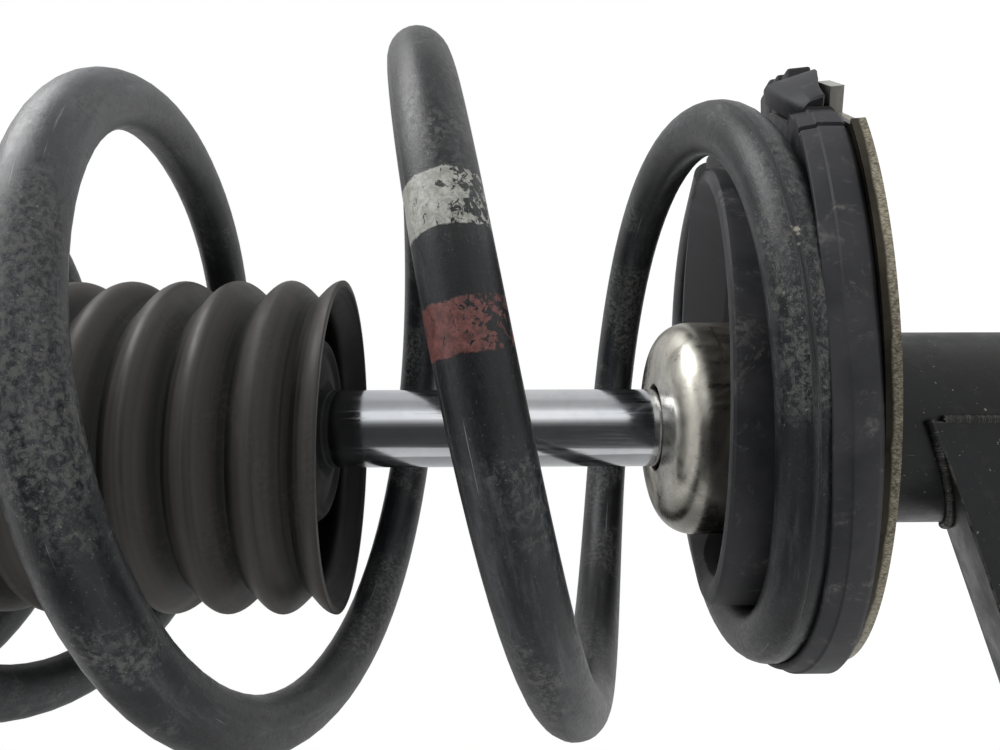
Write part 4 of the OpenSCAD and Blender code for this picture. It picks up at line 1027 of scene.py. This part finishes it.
# %% [markdown]
# ## Dust boot
#
# The boot is a thin rubber bellows. A cylinder with a Displace modifier would give folds of one
# kind, so the boot is one turned wall of even thickness with round crests and narrower valleys.
# It hangs a little to one side from the collar that grips the upper seat.

# %% Boot
BOOT = Sizes(r=47.5, groove=5.4, wall=1.8, ribs=9, low=-162.6, taper=2.2, sag=3.9,
             lean=2.4, aim=150, sag_aim=radians(232), top=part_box("dust_boot")[1][2] / MM - 9)
TURNS = 200
boot_heights = np.linspace(BOOT.low, BOOT.top, BOOT.ribs * 20 + 1)


def fold(z):
    """Radius of the bellows' outer skin at a height; a crest is rounder than a valley."""
    u = (z - BOOT.low) / (BOOT.top - BOOT.low)
    wave = 0.5 + 0.5 * cos(2 * pi * BOOT.ribs * u)
    depth = BOOT.groove * (1 - 0.45 * smooth(0.75, 0.2, u))
    return BOOT.r - BOOT.taper * u - depth * (1 - wave ** 0.62)


def boot_wall():
    skin = np.array([(fold(z), z) for z in boot_heights])
    run = np.gradient(skin, axis=0)
    run /= np.linalg.norm(run, axis=1)[:, None]
    inside = skin + np.stack([-run[:, 1], run[:, 0]], -1) * BOOT.wall
    corners = [(r, z, 0) for r, z in (*skin, *inside[::-1])]
    corners[0] = (skin[0][0], skin[0][1], 0.8)
    corners[-1] = (inside[0][0], skin[0][1], 0.8)
    return corners


def hang(points):
    """Leans the bellows about the middle of its upper end and lets its weight pull it down."""
    pivot = np.array([0, 0, BOOT.top])
    points = (points - pivot) @ leaned(BOOT.aim, -BOOT.lean) + pivot
    drop = BOOT.sag * smooth(0, 58, BOOT.top - points[:, 2])
    points[:, 0] += drop * cos(BOOT.sag_aim)
    points[:, 1] += drop * sin(BOOT.sag_aim)
    return points


def mark_folds(obj):
    """Stores how far out a point of the wall is, 0 in a valley and 1 on a crest, or below 0
    inside; the boot's finish paints its painted shade by it.
    """
    crest = np.array([(fold(z) - BOOT.r + BOOT.taper * (z - BOOT.low) / (BOOT.top - BOOT.low))
                      / BOOT.groove + 1 for z in boot_heights])
    row = np.concatenate([np.full(5, crest[0]), crest[1:], np.full(len(crest) - 1, -1.0),
                          np.full(5, -0.2)])
    value = np.tile(row, TURNS).astype(np.float32)
    obj.data.attributes.new("fold", "FLOAT", "POINT").data.foreach_set("value", value)


bellows = turned("boot_bellows", boot_wall(), TURNS, 60, hang)
mark_folds(bellows)
grip = turned("boot_collar", [(36.0, BOOT.top + 9, 0.8), (36.0, BOOT.top - 3, 0.8),
                              (42.6, BOOT.top - 3, 0.6), (42.6, BOOT.top + 1.2, 0.6),
                              (38.6, BOOT.top + 1.6, 0.6), (38.6, BOOT.top + 9, 0.8)], 160)
for piece in (bellows, grip):
    place(piece, "spring_top", "boot_rubber", "dust_boot")
    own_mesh(piece)

# %% [markdown]
# ## Bump stop
#
# A foam spring inside the boot, waisted so that it folds in rings. It could be a stack of
# torus shapes, but one outline, turned round the axis, gives a closed skin without seams.

# %% Bump stop
low, high = (c[2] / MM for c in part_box("bump_stop"))
outline = [(11.1, high, 0.5), (27.5, high, 1.5)]
for i in range(1, 5):
    z = high - i * (high - low) / 4.6
    outline += [(27.5, z + 5, 3.2), (21.5, z + 1.5, 2), (21.5, z - 1.5, 2), (27.5, z - 5, 3.2)]
outline += [(27.5, low + 4, 2), (24.5, low, 2), (21.9, low + 1.8, 2), (14, low, 1),
            (11.1, low + 2, 0.8)]
bump = place(turned("bump_stop_foam", outline, 128, 50), "top_mount", "foam_rubber", "bump_stop")
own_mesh(bump)

# %% [markdown]
# ## Striker cap
#
# A deep-drawn steel cap on the tube's end, which the bump stop strikes. Its dome rolls over
# into a straight skirt, and short bars are pressed into the skirt to grip the tube. The bars
# could be a bump in the finish, but they show at the outline, so the turned wall is pushed in.

# %% Cap
CAP = Sizes(top=-251.6, low=-281.6, r=29.9, wall=2.0, dome=9.0, hole=12.2, bars=6, bar_w=16.0,
            turn=-46)


def pressed(points):
    """Pushes the bars into the skirt."""
    x, y, z = points.T
    r = np.hypot(x, y)
    step = 360 / CAP.bars
    off = (np.degrees(np.arctan2(y, x)) - CAP.turn + step / 2) % step - step / 2
    depth = 0.86 * (1 - smooth(CAP.bar_w / 2 - 0.4, 0.9, np.abs(np.radians(off)) * CAP.r))
    depth *= band(z, CAP.low + 2.6, 0.9, CAP.top - CAP.dome - 4.5, 0.9)
    points[:, :2] *= ((r - depth) / r)[:, None]
    return points


def cap_outline():
    top, r, low = CAP.top, CAP.r, CAP.low
    knee = top - CAP.dome

    def arc(radius, angles):
        return [(r - CAP.dome + radius * cos(t), knee + radius * sin(t), 0)
                for t in np.radians(angles)]

    skirt = [(r, z, 0) for z in np.linspace(knee - 0.4, low + 1.4, 54)]
    inner_skirt = [(r - CAP.wall, z, 0) for z in np.linspace(low + 0.2, knee - 0.4, 54)]
    return [(CAP.hole, top - CAP.wall + 0.6, 0.5), (CAP.hole, top + 0.6, 0.6),
            *arc(CAP.dome, range(80, -1, -5)), *skirt, (r + 0.8, low, 0.4), *inner_skirt,
            *arc(CAP.dome - CAP.wall, range(0, 81, 5))]


place(turned("striker_cap_drawn", cap_outline(), 360, 50, pressed), "strut_body", "cap_steel",
      "striker_cap")

# %% [markdown]
# ## Rubber inside the mount and the damper
#
# The mount's bush, the oil seal and the rebound bumper are moulded rings. A Bevel modifier on
# the plain rings can't give them lips, so each is turned from the outline of its space, with
# the roundings that a mould gives.

# %% Moulded rings
BUSH = [(13.02, -12.5, 0.8), (18.5, -9.5, 1.5), (24.5, -9.5, 1.5), (27.98, -11.5, 0.5),
        (29.98, -11.5, 0.4), (29.98, 9.98, 0.4), (27.98, 9.98, 0.5), (24.5, 5.98, 1.5),
        (18.5, 5.98, 1.5), (13.02, 10.38, 0.8)]
SEAL = [(11.05, -263.3, 0.3), (13, -263.8, 0.4), (24.38, -263.8, 0.5), (24.38, -257.8, 0.5),
        (16, -257.8, 0.5), (14.5, -259.8, 0.6), (12.5, -256.6, 0.5), (11.05, -256.6, 0.3)]
BUMPER = [(11.02, -294.1, 0.3), (14.8, -294.1, 0.8), (14.8, -288.1, 1.0), (14, -286.1, 0.6),
          (11.02, -286.1, 0.3)]


def with_lugs(points):
    """Raises twelve small lugs on the bush's upper and lower waist, as its mould leaves them."""
    x, y, z = points.T
    waist = np.clip(1 - np.abs(np.hypot(x, y) - 21.5) / 3.4, 0, 1)
    lugs = np.clip(np.cos(12 * np.arctan2(y, x)) * 4 - 2, 0, 1)
    points[:, 2] += np.sign(z + 1.8) * 0.9 * waist * lugs
    return points


place(turned("mount_bush", BUSH, 192, 50, with_lugs), "top_mount", "dark_rubber",
      "top_mount_rubber")
place(turned("rod_seal", SEAL, 128, 50), "strut_body", "dark_rubber", "oil_seal")
place(turned("rebound_cushion", BUMPER, 96, 50), "top_mount", "dark_rubber", "rebound_bumper")

# %% [markdown]
# ## Screw threads
#
# The studs and the two ends of the rod carry real threads. A Screw modifier leaves open ends
# that have to be joined to the shank. Here a threaded length is a turned grid whose radius also
# depends on the angle, by the place in the thread's pitch, so the ridge winds up the shank and
# fades out at both ends.

# %% Studs and rod
def tooth(u):
    """0 on the crest of a thread, 1 at its root."""
    return np.clip(np.abs(2 * (u % 1) - 1) * 1.3 - 0.15, 0, 1)


def thread(r, low, high, pitch, depth):
    """Rows (radius, height, pitch, depth) of a threaded length that runs in and out softly."""
    heights = np.linspace(low, high, max(2, round((high - low) / pitch * 8)))
    fade = np.clip(np.minimum(heights - low, high - heights) / pitch, 0, 1)
    return [(r, z, pitch, depth * f) for z, f in zip(heights, fade)]


def spun(name, rows, columns, centres=((0, 0),), socket=0):
    """Closed solids from rows (radius, height) or of a thread, from the lower end upwards."""
    angles = np.linspace(0, 2 * pi, columns, endpoint=False)
    rings = []
    for r, z, *cut in rows:
        pitch, depth = cut or (1, 0)
        rings.append((z, r - depth * tooth(z / pitch - angles / (2 * pi))))
    if socket:
        flats = socket / np.cos(angles % (pi / 3) - pi / 6)
        rings += [(z, flats), (z - 7, flats)]
    points, faces = [], []
    for x, y in centres:
        faces += stack_faces(len(rings), columns, len(points))
        points += [(x + r * cos(a), y + r * sin(a), z)
                   for z, ring in rings for r, a in zip(ring, angles)]
    return build(name, np.array(points) * MM, faces, 28)


STUD = [(5.8, -5.6), (6.4, -5.0), (6.4, -3.0), (4.5, -3.0), (4.5, 0.0), (4.0, 0.0),
        *thread(4.0, 0.6, 23.2, 1.25, 0.66), (3.3, 24.0)]
STUD_PLACES = [polar(52, radians(az), 0)[:2] for az in (0, 120, 240)]
place(spun("threaded_studs", STUD, 32, STUD_PLACES), "top_mount", "zinc_steel", "top_mount_studs")

ROD = [(5.0, -386.8), (6.0, -385.8), *thread(6.0, -385.4, -376.2, 1.25, 0.66), (6.0, -351.8),
       (10.4, -351.8), (11.0, -351.2), *((11.0, z) for z in np.linspace(-350, -18.4, 60)),
       (11.0, -18.0), (10.0, -17.0), (7.0, -17.0), (7.0, 8.0),
       *thread(7.0, 9.0, 30.6, 1.5, 0.8), (7.0, 31.0), (6.0, 32.0)]
place(spun("rod_polished", ROD, 96, socket=3.0), "top_mount", "chrome", "piston_rod")

# %% [markdown]
# ## Weld beads
#
# Brackets and seat are welded to the tube with beads of overlapping ripples. They could be a
# bump pattern, but a bead stands out from its corner. So a node tree resamples the line, sets a
# flattened ball on every point, turned along the line and a little uneven in size, and fills
# what is between them with a thin tube.

# %% Weld tree
def weld_tree():
    t = Tree("weld_bead", Radius="Float", Spacing="Float", Seed="Int", Finish="Material")
    line = t.add("MeshToCurve", {"Mesh": t.given["Base"]})
    spaced = t.add("ResampleCurve", {"Curve": line, "Length": t.given["Spacing"]}, mode="LENGTH")
    aimed = t.add("FunctionNodeAlignRotationToVector", {"Vector": t.add("InputTangent")}, axis="Z")
    ball = t.add("MeshIcoSphere", {"Radius": t.given["Radius"], "Subdivisions": 2})
    ripple = t.add("Transform", {"Geometry": ball, "Scale": (1, 1, 0.5)})
    size = t.add("FunctionNodeRandomValue", {"Seed": t.given["Seed"], 2: 0.86, 3: 1.12}, 1,
                 data_type="FLOAT")
    row = t.add("InstanceOnPoints", {"Points": spaced, "Instance": ripple, "Rotation": aimed,
                                     "Scale": size})
    ring = t.add("CurvePrimitiveCircle", {"Resolution": 10,
                                          "Radius": t.times(t.given["Radius"], 0.9)})
    core = t.add("CurveToMesh", {"Curve": line, "Profile Curve": ring, "Fill Caps": True})
    both = t.node("JoinGeometry")
    for part in (row, core):
        t.join(both.inputs[0], part)
    return t.finish(both.outputs[0])


WELD = weld_tree()
print("weld tree:", len(WELD.tree.nodes), "nodes")


def bead(name, lines, radius, seed):
    """Weld beads along lines of points in mm, each with whether it closes."""
    points, edges = [], []
    for line, closed in lines:
        edges += [(a + len(points), b + len(points)) for a, b in chain(line, closed)]
        points += list(line)
    obj = WELD.grow(name, np.array(points) * MM, edges, "black_paint", 60, Radius=radius * MM,
                    Spacing=radius * 0.62 * MM, Seed=seed)
    place(obj, "strut_body", "black_paint")


def round_tube(r, height, start=0, end=360, steps=72):
    """Points round the tube at a height that depends on the place."""
    turn = np.radians(np.linspace(start, end, steps, endpoint=end - start < 360))
    x, y = r * np.cos(turn), r * np.sin(turn)
    return np.stack([x, y, np.broadcast_to(height(x, y), x.shape)], -1)

# %% Beads on the tube
TUBE_R = 27.0
bead("weld_seat", [(round_tube(TUBE_R + 1.0, seat_level(lift)), True) for lift in (-5.0, -15.2)],
     1.7, 3)
bead("weld_clevis", [
    (round_tube(TUBE_R + 0.9, lambda x, y: level + up * np.where(x < 0, x * 10 / 32, -x / 13),
                38, 322), False)
    for level, up in ((-429.6, 1), (-534.4, -1))], 1.8, 5)
LINK, HOSE = 235, 150
link_arc = round_tube(TUBE_R + 0.7, lambda x, y: -314.6 - 0.2963 * x + 0.3591 * (y - 28.2),
                      92, 2, 30)
link_down = [(TUBE_R + 0.7, -0.6, z) for z in np.linspace(-335, -371, 12)]
link_near = [(-1.4, TUBE_R + 0.6, z) for z in np.linspace(-318, -358, 12)]
bead("weld_link", [(turned_to([*link_arc, *link_down], LINK), False),
                   (turned_to(link_near, LINK), False)], 1.25, 7)
hose_foot = [*((25.4, -11.5, z) for z in np.linspace(-403, -419.5, 6)),
             *((sqrt(27.8 ** 2 - y * y), y, -420.4) for y in np.linspace(-11, 11, 10)),
             *((25.4, 11.5, z) for z in np.linspace(-419.5, -403, 6))]
bead("weld_hose", [(turned_to(hose_foot, HOSE), False)], 1.3, 9)
bead("weld_foot", [(round_tube(TUBE_R - 0.2, lambda x, y: -538.2), True)], 1.0, 11)

# %% [markdown]
# ## Camera, floor and light
#
# The camera stands close to the spring, level with its middle and turned so that the strut
# lies across the picture. Small hard lamps would leave the black rubber without form, so the
# light is soft and comes from all sides, with one broad lamp from above and a weak one low
# down. A pale floor lies under the foot of the strut.

# %% Camera
LOOK = radians(50.0)
to_strut = Matrix(((0, cos(LOOK), sin(LOOK)), (0, sin(LOOK), -cos(LOOK)), (-1, 0, 0)))
aim = to_strut @ (turn_of("Z", 0.186) @ turn_of("X", 0.279) @ turn_of("Y", 0.621)).transposed()
stand = to_strut @ Vector((0, 16.2, 210.14)) + Vector((0, 0, -205))
lens = bpy.data.cameras.new("lens")
lens.sensor_width, lens.lens, lens.clip_start, lens.clip_end = 36, 26.49, 0.01, 100
camera = add_object("camera", lens)
camera.matrix_world = Matrix.Translation(stand * MM) @ aim.to_4x4()
studio.camera = camera
studio.view_settings.view_transform = "Standard"
print("camera at", [round(c, 1) for c in stand])

# %% World and floor
def white_for_lens(nodes, elsewhere=None):
    """1 on rays that see the background itself or its reflection, or a value for the rest."""
    rays = nodes.node("LightPath").outputs
    rest = rays["Is Glossy Ray"] if elsewhere is None else elsewhere
    return nodes.most(nodes.most(rays["Is Camera Ray"], rest), rays["Is Transmission Ray"])


world = bpy.data.worlds.new("studio")
studio.world = world
world.use_nodes = True
sky = Nodes(world.node_tree)
heaven = sky.tree.nodes["Background"].inputs
heaven["Color"].default_value = (1, 1, 1, 1)
sky.join(heaven["Strength"], sky.add("MapRange", {"Value": white_for_lens(sky), "To Min": 0.6}))

FLOOR_Z, FLOOR_R, FLOOR_SIDES = cad_box[0][2], 1.6, 96
edge = [polar(FLOOR_R, a, FLOOR_Z) for a in np.linspace(0, 2 * pi, FLOOR_SIDES, endpoint=False)]
floor = build("floor", [(0, 0, FLOOR_Z), *edge],
              [(0, i + 1, (i + 1) % FLOOR_SIDES + 1) for i in range(FLOOR_SIDES)])
# The floor glows white for the lens, half as much for the strut, and keeps some shadow
f = Finish("floor_white", Base_Color=(0.6, 0.6, 0.6, 1), Roughness=0.9)
glow = f.add("Emission", {"Strength": 1.12})
share = f.times(white_for_lens(f, 0.5), 0.88)
f.surface(f.add("MixShader", {0: share, 1: f.shader.outputs[0], 2: glow}))
floor.data.materials.append(f.material)
print("floor at", round(FLOOR_Z, 3), "m")

# %% Lamps and screen
def lamp(name, azimuth, height, distance, size, watts):
    """A square soft lamp on a stand; it points at the strut."""
    data = bpy.data.lights.new(name, "AREA")
    data.size, data.energy = size, watts
    obj = add_object(name, data)
    obj.location = polar(distance, radians(azimuth), height)
    aim = Vector((0, 0, -0.2)) - obj.location
    obj.rotation_euler = aim.to_track_quat("-Z", "Y").to_euler()


lamp("lamp_high", 52, 0.5, 1.0, 0.7, 10)
lamp("lamp_low", -110, -0.1, 1.2, 0.9, 1)

# Brightness of the screen round the strut, by degrees from the lens towards the upper side
SCREEN = ((-180, 0.66), (-128, 0.44), (-95, 0.31), (-72, 0.21), (-58, 0.12), (-48, 0.065),
          (-20, 0.05), (2, 0.055), (12, 0.16), (20, 0.45), (30, 1.0), (48, 1.0), (58, 0.6),
          (68, 0.45), (84, 0.42), (100, 0.58), (140, 0.66), (180, 0.66))


def screen(radius=1.25, low=-1.3, high=0.9, steps=180):
    """A round paper screen that only shows in polished metal: dark where the lens stands."""
    lens_side = degrees(atan2(stand.y, stand.x))
    points = [polar(radius, radians(a + lens_side), z)
              for a in np.linspace(-180, 180, steps, endpoint=False) for z in (low, high)]
    around = 2 * steps
    obj = build("screen", points, [(k, k + 1, (k + 3) % around, (k + 2) % around)
                                   for k in range(0, around, 2)])
    side = [degrees(atan2(v.co.y, v.co.x)) for v in obj.data.vertices]
    light = np.interp(apart(np.array(side), lens_side), *zip(*SCREEN)).astype(np.float32)
    obj.data.attributes.new("glow", "FLOAT", "POINT").data.foreach_set("value", light)
    f = Finish("screen")
    level = f.add("Attribute", output="Fac", attribute_name="glow")
    f.surface(f.add("Emission", {"Strength": level}))
    obj.data.materials.append(f.material)
    obj.visible_camera = obj.visible_shadow = obj.visible_diffuse = False


screen()
print("lights:", len(bpy.data.lights))
